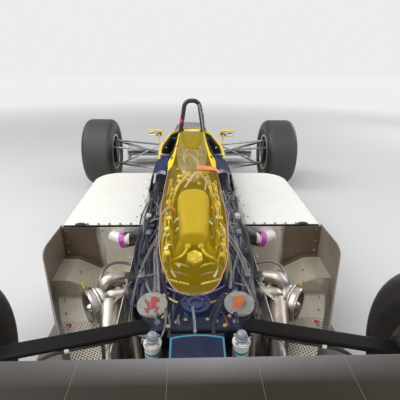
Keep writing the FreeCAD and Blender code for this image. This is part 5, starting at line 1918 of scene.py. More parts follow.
            BENCH.ship(valve, f"front_valve_{i}", (BRASS, GOLD, CAST)[i])

    @staticmethod
    def roof(x: float) -> float:
        """How high the cover's inner side stands beside the plenum, at a place along the car."""
        return 0.786 + 0.217 * x

    def plugs(self) -> None:
        """The two-tone plugs, the red clips and the pale stays that lie just under the cover."""
        rows = (
            ((-0.879, 0.0845), (-0.849, 0.0663), GREEN),
            ((-0.934, 0.0746), (-0.915, 0.067), GREEN),
            ((-0.87, -0.0655), (-0.893, -0.0768), GREEN),
            ((-0.839, -0.0953), (-0.857, -0.1048), DUCTING),
            ((-1.115, 0.0696), (-1.129, 0.0548), GREEN),
            ((-0.769, 0.0993), (-0.799, 0.0806), RED),
            ((-0.77, -0.083), (-0.785, -0.0817), ORANGE),
        )
        for i, (front, rear, finish) in enumerate(rows):
            ends = [Vector((x, y, self.roof(x) - 0.024)) for x, y in (front, rear)]
            middle = (ends[0] + ends[1]) / 2
            for k, (start, end) in enumerate(((ends[0], middle), (middle, ends[1]))):
                sleeve = BENCH.pipe([start, (start + end) / 2, end], 0.0042, sides=3, steps=2)
                BENCH.ship(sleeve, f"plug_{i}_{k}", DUCTING if k and finish is GREEN else finish)
            lead = [
                ends[1],
                ends[1] + Vector((-0.02, 0.0, -0.02)),
                ends[1] + Vector((-0.03, 0.012 if ends[1].y > 0 else -0.012, -0.08)),
            ]
            BENCH.ship(BENCH.pipe(lead, 0.0022, sides=2), f"plug_lead_{i}", HOSE)
        for name, front, rear in (
            ("right", (-0.52, -0.0717), (-0.649, -0.0559)), ("left", (-0.784, 0.1164), (-0.845, 0.1455))
        ):
            stay = [
                (x, y, self.roof(x) - 0.016)
                for x, y in (front, ((front[0] + rear[0]) / 2, (front[1] + rear[1]) / 2), rear)
            ]
            BENCH.tube(stay, 0.004, f"pale_stay_{name}", LIGHT_HOSE)

    def fittings(self, side: str, s: int, draw: random.Random) -> None:
        """Small unions, sensors and elbows along the plenum's side.

        Args:
            side: The side's name.
            s: Its sign.
            draw: The source of their spread.
        """
        elbows: dict[str, list[Thing]] = {"gold": [], "brass": [], "black": []}
        tops: list[tuple[Point, Point]] = []
        for i in range(30):
            x = -0.5 - 0.019 * i + draw.uniform(-0.012, 0.012)
            roof = self.roof(x)
            y, reach = draw.uniform(0.088, 0.112), draw.uniform(0.1, 0.132)
            top = (x - 0.02, s * (y + reach) / 2, roof - draw.uniform(0.022, 0.05))
            route = [(x, s * y, roof - 0.13), (x + 0.004, s * y, roof - 0.06), top]
            route += [
                (x - draw.uniform(0.03, 0.05), s * reach, roof - 0.05),
                (x - draw.uniform(0.02, 0.07), s * reach, roof - 0.13),
            ]
            tone = ("gold", "brass", "black")[i % 3]
            elbows[tone].append(BENCH.pipe(route, draw.choice((0.0028, 0.0038, 0.005)), sides=2, steps=5))
            if i % 2:
                tops.append((top, (draw.uniform(-0.7, 0.2), s * draw.uniform(-0.5, 0.8), 1.0)))
        for tone, finish in (("gold", GOLD), ("brass", BRASS), ("black", HOSE)):
            BENCH.ship(BENCH.join(elbows[tone]), f"{tone}_elbows_{side}", finish)
        BENCH.bolts(0.0072, tops[::2], f"union_row_{side}", GOLD)
        BENCH.bolts(0.0058, tops[1::2], f"nut_row_{side}", BOLT_STEEL)
        for i in range(9):
            x = -0.48 - 0.07 * i
            high = 0.53 - 0.015 * i
            route = [
                (x, s * 0.088, high),
                (x - 0.02, s * 0.1, high + 0.014),
                (x - 0.05, s * draw.uniform(0.105, 0.128), high),
            ]
            route += [(x - 0.07, s * draw.uniform(0.11, 0.13), high - 0.03), (x - 0.06, s * 0.12, high - 0.06)]
            BENCH.tube(route, draw.choice((0.0032, 0.0045)), f"brass_elbow_{side}_{i}", (BRASS, GOLD, HOSE)[i % 3])
        for i in range(5):
            x = -1.0 - 0.05 * i
            route = [
                (x, s * 0.025, 0.43 - 0.006 * i),
                (x - 0.01, s * 0.05, 0.45 - 0.008 * i),
                (x + 0.01, s * 0.085, 0.44 - 0.006 * i),
            ]
            route.append((x + 0.04, s * 0.115, 0.42))
            BENCH.tube(route, 0.0045, f"low_elbow_{side}_{i}", (BRASS, BRAID)[i % 2])

    def cover_looms(self) -> None:
        """Fine wires and hoses ahead of the plenum, behind the seat back."""
        draw = random.Random(self.seed + 1)
        for i in range(12):
            y = -0.11 + 0.02 * i
            route = [
                (-0.42, y, 0.556 - 0.3 * abs(y)),
                (-0.46 - draw.uniform(0, 0.03), y * 1.1, 0.60 + draw.uniform(-0.03, 0.01)),
            ]
            route += [(-0.5, y * 1.15, 0.56), (-0.55 - draw.uniform(0.0, 0.05), y * 1.35, 0.5), (-0.6, y * 1.4, 0.47)]
            finish = (GOLD, HOSE, BRAID, GREY_HOSE)[i % 4]
            BENCH.tube(route, draw.choice((0.003, 0.004, 0.006)), f"front_wire_{i}", finish)
        rod = [(-0.627, 0.04, 0.637), (-0.555, 0.013, 0.652), (-0.4855, -0.0137, 0.667)]
        BENCH.tube(rod, 0.005, "white_stay", DUCTING)
        ring = [
            (-0.34, 0.043), (-0.3, 0.051), (-0.235, 0.048), (-0.18, 0.025), (-0.18, -0.011), (-0.22, -0.03),
            (-0.27, -0.033),
        ]
        BENCH.ship(BENCH.pipe([(x, y, self.roof(x) - 0.03) for x, y in ring], 0.0026), "hose_arc", DUCTING)
        thick = [(-0.27, 0.05), (-0.238, 0.03), (-0.236, 0.008), (-0.265, -0.015), (-0.32, -0.03), (-0.36, -0.034)]
        BENCH.ship(BENCH.pipe([(x, y, self.roof(x) - 0.044) for x, y in thick], 0.0105), "vent_hose", GREY_HOSE)
        well = BENCH.lathe(
            [(0.0, 0.0), (0.026, 0.0), (0.03, 0.003), (0.031, 0.008), (0.027, 0.01), (0.02, 0.006), (0.0, 0.004)],
            (-0.3, 0.012, self.roof(-0.3) - 0.06),
            (-0.21, 0.0, 0.97),
            32,
        )
        BENCH.ship(well, "vent_well", HOSE)

    def cam_covers(self) -> None:
        """Rows of nuts along the cam covers and the leads between them."""
        tilt = math.radians(40.0)
        for side, s in SIDES:
            way = Vector((0.0, s * math.sin(tilt), math.cos(tilt)))
            across = Vector((0.0, s * math.cos(tilt), -math.sin(tilt)))
            top = Vector((0.0, 0.0, 0.165)) + way * 0.2685
            places = []
            for i in range(6):
                for w in (-0.046, 0.046):
                    places.append((top + across * w * 0.7 + Vector((-0.985 + i * 0.082, 0.0, 0.0)), way))
            BENCH.bolts(0.0055, places, f"cam_nuts_{side}", BOLT_STEEL)
            for i in range(3):
                x = -0.92 + 0.15 * i
                foot = top + Vector((x, 0.0, 0.0))
                route = [foot, foot + way * 0.03, foot + way * 0.04 - Vector((0.02, s * 0.04, 0.0))]
                route.append(Vector((x - 0.04, s * 0.08, 0.43)))
                BENCH.tube(route, 0.0045, f"plug_lead_{side}_{i}", HOSE)


# ---- tail of the engine bay -----------------------------------------------------------------------
@dataclass
class TailDressing:
    """The round tank on the gearbox, the discs' marks, the reservoirs' caps and the pipes round them."""

    tank_x: float = -1.262
    tank_y: float = 0.0
    tank_top: float = 0.462
    tank_radius: float = 0.0492
    # the left reservoir's middle, seen from above, and the level of the beam between the arms
    reservoir: tuple[float, float] = (-1.414, 0.129)
    beam_top: float = 0.459

    def dress(self) -> None:
        """Builds the tank, the caps, the marks and the pipes."""
        self.tank()
        self.caps()
        self.marks()
        self.pipes()

    def tank(self) -> None:
        """The round tank with its ribbed lid, label and sight tube."""
        r, top = self.tank_radius, self.tank_top
        outline = [
            (0.0, top - 0.0035), (0.018, top - 0.0035), (0.02, top + 0.003), (0.026, top + 0.003),
            (0.028, top - 0.0035),
        ]
        outline += [
            (r - 0.008, top - 0.0035), (r - 0.006, top + 0.004), (r - 0.001, top + 0.004), (r, top), (r, 0.40),
            (r + 0.006, 0.395),
        ]
        outline += [(r + 0.006, 0.385), (r - 0.0008, 0.385)]
        tank = BENCH.lathe(outline, (self.tank_x, self.tank_y, 0.0), UP, 48)
        BENCH.ship(tank, "oil_tank", NAVY)
        ribs = []
        for i in range(3):
            turn = math.tau * i / 3 + math.pi
            start = (self.tank_x + 0.02 * math.cos(turn), self.tank_y + 0.02 * math.sin(turn), top - 0.0015)
            end = (
                self.tank_x + (r - 0.007) * math.cos(turn), self.tank_y + (r - 0.007) * math.sin(turn), top - 0.0015
            )
            middle = tuple((a + b) / 2 for a, b in zip(start, end))
            ribs.append(BENCH.pipe([start, middle, end], 0.0028, sides=2))
        BENCH.ship(BENCH.join(ribs), "oil_tank_ribs", NAVY)
        label = []
        for k in range(6):
            turn = math.radians(128 + 5 * k)
            label.append(
                (self.tank_x + (r + 0.0006) * math.cos(turn), self.tank_y + (r + 0.0006) * math.sin(turn), 0.408)
            )
        BENCH.ship(BENCH.strip(label, (0.0, 0.0, 0.044), 0.0008), "oil_tank_label", LABEL)
        x = self.tank_x - r - 0.01
        tube = [(x, 0.004, 0.457), (x - 0.002, 0.004, 0.44), (x - 0.002, 0.004, 0.41)]
        BENCH.tube(tube, 0.004, "sight_tube", DUCTING)
        nuts = [((x - 0.001, 0.004, 0.45), UP), ((x, -0.018, 0.447), (-1.0, 0.0, 0.4))]
        BENCH.bolts(0.006, nuts, "sight_tube_nuts", BOLT_STEEL)

    def caps(self) -> None:
        """The reservoirs' domed caps with their rings and side spouts."""
        for side, s in SIDES:
            at = (self.reservoir[0], s * self.reservoir[1])
            foot = (*at, 0.4685)
            dome = [(0.0, 0.016), (0.006, 0.0155), (0.011, 0.013), (0.0145, 0.009), (0.0165, 0.003), (0.0165, -0.004)]
            dome += [(0.019, -0.005), (0.019, -0.011), (0.0, -0.011)]
            BENCH.ship(BENCH.lathe(dome, foot, UP), f"reservoir_cap_{side}", TANK_TOP)
            collar = BENCH.lathe([(0.0245, 0.0), (0.0265, 0.001), (0.0265, 0.007), (0.0245, 0.008)], (*at, 0.441), UP)
            BENCH.ship(collar, f"reservoir_collar_{side}", DUCTING)
            spout = to_side(s, (-1.4, 0.15, 0.436), (-1.39, 0.16, 0.437), (-1.38, 0.165, 0.43), (-1.378, 0.165, 0.41))
            BENCH.tube(spout, 0.0032, f"reservoir_spout_{side}", GREY_HOSE)
            turns = (0.8, 2.4, 4.0, 5.6)
            clips = [((at[0] + 0.024 * math.cos(t), at[1] + 0.024 * math.sin(t), 0.456), UP) for t in turns]
            BENCH.bolts(0.003, clips, f"reservoir_screws_{side}", BOLT_STEEL)

    def marks(self) -> None:
        """Plain red marks on the left disc and a folded tag on the right one."""
        lean = Vector((-0.25, 0.0, 1.0)).normalized()
        ahead = LEFT.cross(lean)
        centre = Vector((-1.255, 0.145, 0.4564))
        shapes = (
            ((0.006, -0.004), (0.046, 0.018), 0.0),
            ((-0.008, 0.012), (0.034, 0.007), 0.15),
            ((0.012, 0.022), (0.014, 0.006), 0.3),
            ((-0.026, 0.016), (0.022, 0.006), 0.5),
            ((-0.022, -0.016), (0.024, 0.007), -0.45),
            ((0.016, -0.019), (0.016, 0.006), 0.1),
        )
        patches = []
        for (u, v), (length, width), turn in shapes:
            along = ahead * math.cos(turn) + LEFT * math.sin(turn)
            across = lean.cross(along)
            middle = centre + ahead * u + LEFT * v
            half, wide = along * length / 2, across * width / 2
            corners = [middle - half - wide, middle + half - wide, middle + half + wide, middle - half + wide]
            patches.append(BENCH.plate(corners, lean * 0.0006, 0.0002))
        BENCH.ship(BENCH.join(patches), "disc_marks", RED)
        at = Vector((-1.265, -0.135, 0.462))
        tag = BENCH.profile(
            [
                at + Vector(p)
                for p in ((0.03, 0.016, 0.002), (0.012, 0.006, 0.014), (-0.012, 0.012, 0.016), (-0.03, 0.02, 0.004))
            ],
        )
        bpy.ops.mesh.select_all(action="SELECT")
        BENCH.push((0.006, -0.034, 0.002))
        bpy.ops.mesh.select_all(action="SELECT")
        bpy.ops.mesh.subdivide(number_cuts=2, smoothness=0.8)
        bpy.ops.object.mode_set(mode="OBJECT")
        BENCH.thicken(tag, 0.0012)
        BENCH.ship(tag, "warning_tag", ORANGE, angle=80)
        for side, s in SIDES:
            studs = []
            for k in range(8):
                t = math.tau * k / 8
                studs.append(
                    (
                        Vector((-1.254, s * 0.145, 0.4545)) + ahead * 0.043 * math.cos(t) + Vector(
                            (0, 0.043 * math.sin(t), 0)
                        ),
                        lean,
                    ),
                )
            BENCH.bolts(0.0022, studs, f"disc_studs_{side}", BOLT_STEEL)

    def pipes(self) -> None:
        """Hoses that loop round the gearbox, the arms and the tailpipes."""
        routes = {
            "grey_hose_left": (
                LIGHT_HOSE,
                0.0062,
                [
                    (-1.352, 0.155, 0.412), (-1.341, 0.195, 0.415), (-1.345, 0.225, 0.417), (-1.356, 0.257, 0.412),
                    (-1.388, 0.268, 0.4), (-1.43, 0.262, 0.36), (-1.46, 0.25, 0.3),
                ],
            ),
            "grey_hose_right": (
                LIGHT_HOSE,
                0.0062,
                [
                    (-1.345, -0.17, 0.412), (-1.35, -0.205, 0.417), (-1.361, -0.236, 0.415), (-1.39, -0.26, 0.41),
                    (-1.43, -0.262, 0.39), (-1.46, -0.255, 0.33),
                ],
            ),
            "slanting_hose": (
                HOSE,
                0.009,
                [(-1.18, -0.1, 0.43), (-1.25, -0.07, 0.452), (-1.33, -0.04, 0.445), (-1.38, -0.01, 0.425)],
            ),
            "arm_hose_left": (
                HOSE,
                0.005,
                [
                    (-1.375, 0.2, 0.43), (-1.41, 0.3, 0.435), (-1.43, 0.37, 0.44), (-1.455, 0.43, 0.44),
                    (-1.47, 0.46, 0.41), (-1.475, 0.47, 0.36),
                ],
            ),
            "arm_hose_right": (
                HOSE,
                0.005,
                [
                    (-1.375, -0.2, 0.43), (-1.41, -0.3, 0.435), (-1.43, -0.37, 0.44), (-1.455, -0.43, 0.44),
                    (-1.47, -0.46, 0.41), (-1.475, -0.47, 0.36),
                ],
            ),
            "disc_stem_left": (STEM, 0.0115, [(-1.09, 0.146, 0.408), (-1.15, 0.146, 0.424), (-1.21, 0.145, 0.43)]),
            "disc_stem_right": (
                TANK_TOP, 0.0115, [(-1.09, -0.146, 0.408), (-1.15, -0.146, 0.424), (-1.21, -0.145, 0.43)]
            ),
            "sight_hose": (
                TANK_TOP,
                0.0045,
                [(-1.285, 0.012, 0.464), (-1.33, 0.008, 0.463), (-1.375, 0.006, 0.462), (-1.395, 0.006, 0.463)],
            ),
            "cross_hose_a": (
                HOSE,
                0.0045,
                [(-1.2, 0.05, 0.425), (-1.28, 0.068, 0.463), (-1.34, 0.074, 0.469), (-1.39, 0.085, 0.44)],
            ),
            "cross_hose_b": (
                GREY_HOSE,
                0.003,
                [
                    (-1.2, 0.1, 0.42), (-1.29, 0.104, 0.461), (-1.34, 0.092, 0.465), (-1.385, 0.1, 0.45),
                    (-1.4, 0.12, 0.42),
                ],
            ),
            "cross_hose_c": (
                HOSE,
                0.006,
                [
                    (-1.17, -0.11, 0.42), (-1.25, -0.085, 0.452), (-1.32, -0.06, 0.468), (-1.37, -0.05, 0.46),
                    (-1.395, -0.05, 0.44),
                ],
            ),
            "cross_hose_d": (
                RED,
                0.0028,
                [(-1.29, -0.075, 0.45), (-1.315, -0.085, 0.464), (-1.34, -0.09, 0.465), (-1.365, -0.095, 0.458)],
            ),
            "shift_rod": (STEEL, 0.006, [(-1.1, 0.075, 0.4), (-1.2, 0.08, 0.405), (-1.35, 0.075, 0.42)]),
            "brake_pipe": (
                GOLD, 0.0035, [(-1.12, 0.1, 0.395), (-1.2, 0.11, 0.42), (-1.28, 0.09, 0.415), (-1.34, 0.1, 0.425)]
            ),
            "loop_left": (
                HOSE,
                0.0045,
                [(-1.08, 0.21, 0.4), (-1.12, 0.235, 0.39), (-1.18, 0.23, 0.4), (-1.22, 0.2, 0.41), (-1.2, 0.17, 0.4)],
            ),
            "loop_right": (
                BRAID,
                0.0045,
                [
                    (-1.05, -0.2, 0.42), (-1.1, -0.225, 0.41), (-1.15, -0.21, 0.4), (-1.17, -0.18, 0.41),
                    (-1.14, -0.16, 0.4),
                ],
            ),
            "long_hose_right": (
                BRAID, 0.005, [(-0.95, -0.2, 0.44), (-1.05, -0.18, 0.44), (-1.13, -0.19, 0.435), (-1.2, -0.21, 0.41)]
            ),
        }
        for name, (finish, radius, route) in routes.items():
            BENCH.tube(route, radius, name, finish)
        for side, s in SIDES:
            ring = BENCH.lathe(
                [(0.0045, -0.006), (0.0075, -0.006), (0.0075, 0.006), (0.0045, 0.006), (0.0045, -0.006)],
                (-1.43, s * 0.37, 0.4385),
                (-0.4, s, 0),
                16,
            )
            BENCH.ship(ring, f"arm_hose_band_{side}", DUCTING)
            boxes = []
            for x, y, z in ((-1.29, 0.07, 0.408), (-1.33, 0.085, 0.425)):
                at = Vector((x, s * y, z))
                boxes.append(BENCH.chunk(at, (0.012, 0.01, 0.01), 0.003, 0.002))
            BENCH.ship(BENCH.join(boxes), f"valve_blocks_{side}", STEEL)
            nuts = [
                ((-1.29, s * 0.07, 0.42), UP),
                ((-1.33, s * 0.085, 0.437), UP),
                ((-1.345, s * 0.12, self.beam_top), UP),
                ((-1.345, s * 0.06, self.beam_top), UP),
            ]
            BENCH.bolts(0.006, nuts, f"valve_nuts_{side}", BOLT_STEEL)
            unions = [
                ((-1.322, s * 0.104, self.beam_top), (0.0, 0.3 * s, 1.0)),
                ((-1.336, s * 0.034, self.beam_top), (0.3, 0.0, 1.0)),
                ((-1.362, s * 0.086, self.beam_top), (-0.2, 0.0, 1.0)),
            ]
            BENCH.bolts(0.0045, unions, f"beam_unions_{side}", BRASS)
            loops = []
            for y, low in ((0.05, 0.012), (0.078, 0.016), (0.118, 0.02)):
                route = [
                    (-1.31, s * y, 0.452),
                    (-1.32, s * (y + 0.004), self.beam_top + low),
                    (-1.345, s * (y + 0.008), self.beam_top + low),
                    (-1.36, s * y, 0.452),
                ]
                loops.append(BENCH.pipe(route, 0.0028))
            BENCH.ship(BENCH.join(loops), f"beam_loops_{side}", BRAID if s > 0 else HOSE)


# ---- turbocharger bays ----------------------------------------------------------------------------
@dataclass
class BayDressing:
    """Clamps, pipes, bolts and strips in the open bays."""

    bulkhead_x: float = -0.612
    # the left turbocharger's middle, and how far its axis is turned, in degrees
    turbo_middle: Triple = (-1.038, 0.372, 0.29)
    turbo_yaw: float = 36.0

    def dress(self) -> None:
        """Builds both bays."""
        for side, s in SIDES:
            self.bolts(side, s)
            self.strip(side, s)
            self.small_pipes(side, s)
            self.turbo(side, s)
            self.duct_band(side, s)

    def bolts(self, side: str, s: int) -> None:
        """Bolts along the bulkhead, the shelf and the pan.

        Args:
            side: The side's name.
            s: Its sign.
        """
        back = (-1.0, 0.0, 0.0)
        places = [
            ((self.bulkhead_x - 0.0005, s * y, z), back)
            for y, z in ((0.645, 0.395), (0.645, 0.33), (0.645, 0.275), (0.3, 0.392), (0.46, 0.398))
        ]
        shelf = Vector((-0.727, s * 0.556, 0.2275))
        places += [(shelf, (0.0, s * 0.5, 1.0))]
        BENCH.bolts(0.0042, places, f"bay_bolts_{side}", BOLT_STEEL)
        pan = [((-0.86 - 0.1 * i, s * (0.6 - 0.04 * i), 0.156 + 0.0107 * (0.5 + i)), UP) for i in range(4)]
        BENCH.bolts(0.004, pan, f"pan_screws_{side}", BOLT_STEEL)
        spot = BENCH.lathe([(0.0, 0.002), (0.0085, 0.0018), (0.0105, 0.0)], (-1.041, s * 0.522, 0.1772), UP, 24)
        BENCH.ship(spot, f"red_spot_{side}", RED)

    def strip(self, side: str, s: int) -> None:
        """The curved strip that seals the pan against the outer wall.

        Args:
            side: The side's name.
            s: Its sign.
        """
        line = [
            (-0.85, 0.632), (-0.9, 0.612), (-0.96, 0.588), (-1.03, 0.556), (-1.1, 0.52), (-1.19, 0.474), (-1.28, 0.43)
        ]
        chain = [(x, s * y, 0.172 + (-0.85 - x) * 0.1) for x, y in line]
        piece = BENCH.strip(chain, (0.006, s * 0.026, 0.012), 0.002)
        BENCH.ship(piece, f"seal_strip_{side}", STEEL, angle=60)

    def small_pipes(self, side: str, s: int) -> None:
        """The thin oil pipe, the parallel rods and the small yellow rod.

        Args:
            side: The side's name.
            s: Its sign.
        """
        arc = to_side(
            s, (-1.0, 0.39, 0.352), (-0.985, 0.388, 0.37), (-0.93, 0.384, 0.378), (-0.875, 0.362, 0.372),
            (-0.85, 0.325, 0.36), (-0.845, 0.285, 0.345),
        )
        BENCH.tube(arc, 0.0065, f"oil_pipe_{side}", BRAID)
        for i in range(4):
            y = 0.03 * i
            start = (-1.13 + 0.022 * i, s * (0.305 - y * 0.1), 0.362)
            end = (-1.075 + 0.02 * i, s * (0.262 - y * 0.1), 0.372)
            middle = tuple((a + b) / 2 for a, b in zip(start, end))
            BENCH.ship(BENCH.pipe([start, middle, end], 0.003), f"actuator_rod_{side}_{i}", BOLT_STEEL)
        stub = to_side(s, (-0.80, 0.532, 0.218), (-0.84, 0.515, 0.225), (-0.87, 0.5, 0.235))
        BENCH.tube(stub, 0.004, f"yellow_rod_{side}", YELLOW)

    def turbo(self, side: str, s: int) -> None:
        """Clamp bands, studs and a flange on the turbocharger.

        Args:
            side: The side's name.
            s: Its sign.
        """
        middle = Vector(to_side(s, self.turbo_middle)[0])
        yaw = math.radians(self.turbo_yaw)
        axis = Vector((-math.sin(yaw), s * math.cos(yaw), 0.0))
        up = Vector(UP)
        level = axis.cross(up)
        for i, (along, radius) in enumerate(((0.0285, 0.0735), (-0.03, 0.044))):
            ring = [
                (radius - 0.002, -0.005), (radius + 0.003, -0.004), (radius + 0.0045, 0.0), (radius + 0.003, 0.004),
                (radius - 0.002, 0.005),
            ]
            BENCH.ship(BENCH.lathe(ring, middle + axis * along, axis, 40), f"clamp_band_{side}_{i}", BOLT_STEEL)
        cone = BENCH.lathe(
            [(0.0, 0.022), (0.006, 0.02), (0.012, 0.012), (0.0165, 0.0)], middle + axis * 0.05, axis, 24
        )
        BENCH.ship(cone, f"compressor_nut_{side}", BOLT_STEEL)
        places = []
        for k in range(8):
            t = math.tau * (k + 0.5) / 8
            places.append((middle + axis * 0.022 + (up * math.sin(t) + level * math.cos(t)) * 0.066, axis))
        BENCH.bolts(0.0045, places, f"housing_studs_{side}", BOLT_STEEL)
        lip = BENCH.lathe(
            [(0.058, 0.0), (0.058, 0.006), (0.064, 0.008), (0.07, 0.006), (0.071, 0.0)],
            middle + axis * 0.055,
            axis,
            48,
        )
        BENCH.ship(lip, f"inlet_lip_{side}", BOLT_STEEL)
        for i, (x, y, z, radius, way) in enumerate(
            (
                (-1.21, 0.306, 0.288, 0.0365, (-1.0, -0.31, -0.25)),
                (-1.34, 0.266, 0.254, 0.0365, (-1.0, -0.31, -0.25)),
                (-1.1, 0.25, 0.236, 0.0245, (-1.0, -0.3, -0.05)),
            )
        ):
            band = [
                (radius, -0.008), (radius + 0.003, -0.007), (radius + 0.004, 0.0), (radius + 0.003, 0.007),
                (radius, 0.008),
            ]
            BENCH.ship(
                BENCH.lathe(band, (x, s * y, z), (way[0], s * way[1], way[2]), 32),
                f"pipe_band_{side}_{i}",
                BOLT_STEEL,
            )

    def duct_band(self, side: str, s: int) -> None:
        """The magenta clamp and black sleeve on the charge duct.

        Args:
            side: The side's name.
            s: Its sign.
        """
        foot = Vector((-0.672, s * 0.344, 0.374))
        way = Vector((-0.1, -s, 0.25)).normalized()
        band = [(0.034, -0.013), (0.0385, -0.012), (0.0395, 0.0), (0.0385, 0.012), (0.034, 0.013)]
        BENCH.ship(BENCH.lathe(band, foot, way, 40), f"duct_clamp_{side}", MAGENTA)
        sleeve = [(0.034, -0.016), (0.0375, -0.014), (0.036, -0.006), (0.0375, 0.002), (0.036, 0.01), (0.034, 0.014)]
        BENCH.ship(BENCH.lathe(sleeve, foot + way * 0.035, way, 40), f"duct_sleeve_{side}", HOSE)


# ---- bodywork, wings and wheels -------------------------------------------------------------------
@dataclass
class TrimDressing:
    """Fasteners, strips and tape on the bodywork and the wings."""

    pod_top: float = 0.42
    hoop_x: float = -0.028
    inlet_x: float = 0.27

    def dress(self) -> None:
        """Builds the trim."""
        self.pods()
        self.cover()
        self.nose()
        self.wings()
        self.hoop()

    def pods(self) -> None:
        """Screws round the pods, the hump at each rear edge and the meshes in the inlets."""
        for side, s in SIDES:
            places = [((-0.583, s * (0.32 + 0.055 * i), self.pod_top), UP) for i in range(6)]
            places += [((-0.5 + 0.15 * i, s * 0.3, self.pod_top), UP) for i in range(5)]
            BENCH.bolts(0.004, places, f"pod_screws_{side}", STEEL)
            hump = BENCH.lathe(
                [(0.0, 0.03), (0.012, 0.028), (0.022, 0.02), (0.028, 0.008), (0.03, 0.0)], (
                    -0.583, s * 0.576, self.pod_top - 0.002
                ), UP
            )
            hump.scale = (0.35, 1.0, 0.3)
            BENCH.ship(hump, f"pod_catch_{side}", HOSE)
            lip = [
                (-0.59, s * 0.3, self.pod_top - 0.006),
                (-0.59, s * 0.48, self.pod_top - 0.006),
                (-0.59, s * 0.655, self.pod_top - 0.006),
            ]
            BENCH.ship(BENCH.pipe(lip, 0.003, sides=2), f"pod_seal_{side}", HOSE)
            wires = []
            for i in range(9):
                y = 0.3 + 0.028 * i
                wires.append(
                    BENCH.pipe([(self.inlet_x, s * y, z) for z in (0.06, 0.23, 0.405)], 0.0014, sides=1, steps=2)
                )
            for i in range(11):
                z = 0.07 + 0.031 * i
                wires.append(
                    BENCH.pipe(
                        [(0.2705, s * 0.27, z), (0.2705, s * 0.4, z), (0.2705, s * 0.54, z)], 0.0014, sides=1, steps=2
                    ),
                )
            BENCH.ship(BENCH.join(wires), f"inlet_mesh_{side}", STEEL)

    def cover(self) -> None:
        """Quarter-turn fasteners along the cover's feet, and its orange strap."""
        for side, s in SIDES:
            rows = [(-0.1, 0.2765), (-0.3, 0.2765), (-0.5, 0.2765), (-0.7, 0.2762), (-0.9, 0.272), (-1.05, 0.2665)]
            places = [((x, s * y, 0.432 if x > -0.6 else 0.43 + (x + 0.6) * 0.06), (0, s, 0.15)) for x, y in rows]
            BENCH.bolts(0.0065, places, f"cover_fasteners_{side}", BOLT_STEEL)
        BENCH.start()
        bpy.ops.mesh.primitive_grid_add(
            x_subdivisions=6, y_subdivisions=24, size=1.0, location=(-0.497, -0.078, 0.72)
        )
        strap = bpy.context.object
        strap.scale = (0.036, 0.116, 1.0)
        strap.rotation_euler = (0.0, 0.0, -0.12)
        bpy.ops.object.transform_apply(location=True, rotation=True, scale=True)
        wrap = strap.modifiers.new("wrap", "SHRINKWRAP")
        wrap.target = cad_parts["engine_cover"]
        wrap.wrap_method = "PROJECT"
        wrap.use_project_z = True
        wrap.use_negative_direction = True
        wrap.use_positive_direction = False
        wrap.offset = 0.0014
        bpy.ops.object.modifier_apply(modifier=wrap.name)
        BENCH.thicken(strap, 0.0012)
        BENCH.ship(strap, "orange_strap", ORANGE, angle=60)

    def nose(self) -> None:
        """The nose's fasteners and the pedal hatch with its screws."""
        places = []
        for x in (1.575, 1.62):
            for s in (-1, 1):
                places.append(((x, s * 0.07, 0.437 - (x - 1.55) * 0.4), (0.25, 0, 1)))
        for s in (-1, 1):
            places.append(((1.58, s * 0.143, 0.25), (0, s, 0.15)))
        BENCH.bolts(0.008, places, "nose_fasteners", BOLT_STEEL)
        hatch = BENCH.plate(
            [(1.36, -0.075, 0.486), (1.48, -0.06, 0.461), (1.48, 0.06, 0.461), (1.36, 0.075, 0.486)],
            (0.001, 0, 0.004),
            0.0015,
        )
        BENCH.ship(hatch, "pedal_hatch", NAVY)
        screws = [
            ((x, s * y, z), (0.2, 0, 1))
            for x, y, z in ((1.372, 0.062, 0.488), (1.468, 0.049, 0.468))
            for s in (-1, 1)
        ]
        BENCH.bolts(0.004, screws, "pedal_hatch_screws", BOLT_STEEL)

    def wings(self) -> None:
        """A Gurney strip on the rear wing, endplate screws and the front flap brackets."""
        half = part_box("rear_wing")[1].y - 0.002
        flap_tail = self.trailing("rear_wing")
        strip = BENCH.block(
            (flap_tail.x - 0.001, -half, flap_tail.z - 0.002),
            (flap_tail.x + 0.0015, half, flap_tail.z + 0.012),
            0.0005,
            1,
        )
        BENCH.ship(strip, "rear_gurney", CARBON)
        for side, s in SIDES:
            y = s * (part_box("rear_wing_endplates")[1].y + 0.0002)
            places = [
                ((x, y, z), (0, s, 0))
                for x, z in ((-1.93, 0.89), (-2.0, 0.898), (-2.08, 0.905), (-2.13, 0.955), (-2.18, 0.97))
            ]
            BENCH.bolts(0.005, places, f"rear_endplate_screws_{side}", BOLT_STEEL)
            y = s * (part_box("front_wing_endplates")[1].y + 0.0002)
            places = [
                ((x, y, z), (0, s, 0))
                for x, z in ((2.1, 0.12), (2.02, 0.12), (1.95, 0.12), (1.9, 0.17), (1.86, 0.19))
            ]
            BENCH.bolts(0.005, places, f"front_endplate_screws_{side}", BOLT_STEEL)
            for i, y in enumerate((0.25, 0.48, 0.68)):
                bracket = BENCH.plate(
                    [(1.965, s * y, 0.118), (1.925, s * y, 0.15), (1.9, s * y, 0.165), (1.9, s * y, 0.12)], (
                        0.0, s * 0.004, 0.0
                    ), 0.0006
                )
                BENCH.ship(bracket, f"front_flap_bracket_{side}_{i}", STEEL)

    @staticmethod
    def trailing(node: str) -> Vector:
        """The rearmost point of a node.

        Args:
            node: The node's name.

        Returns:
            The point.
        """
        return min((v.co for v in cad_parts[node].data.vertices), key=lambda co: co.x).copy()

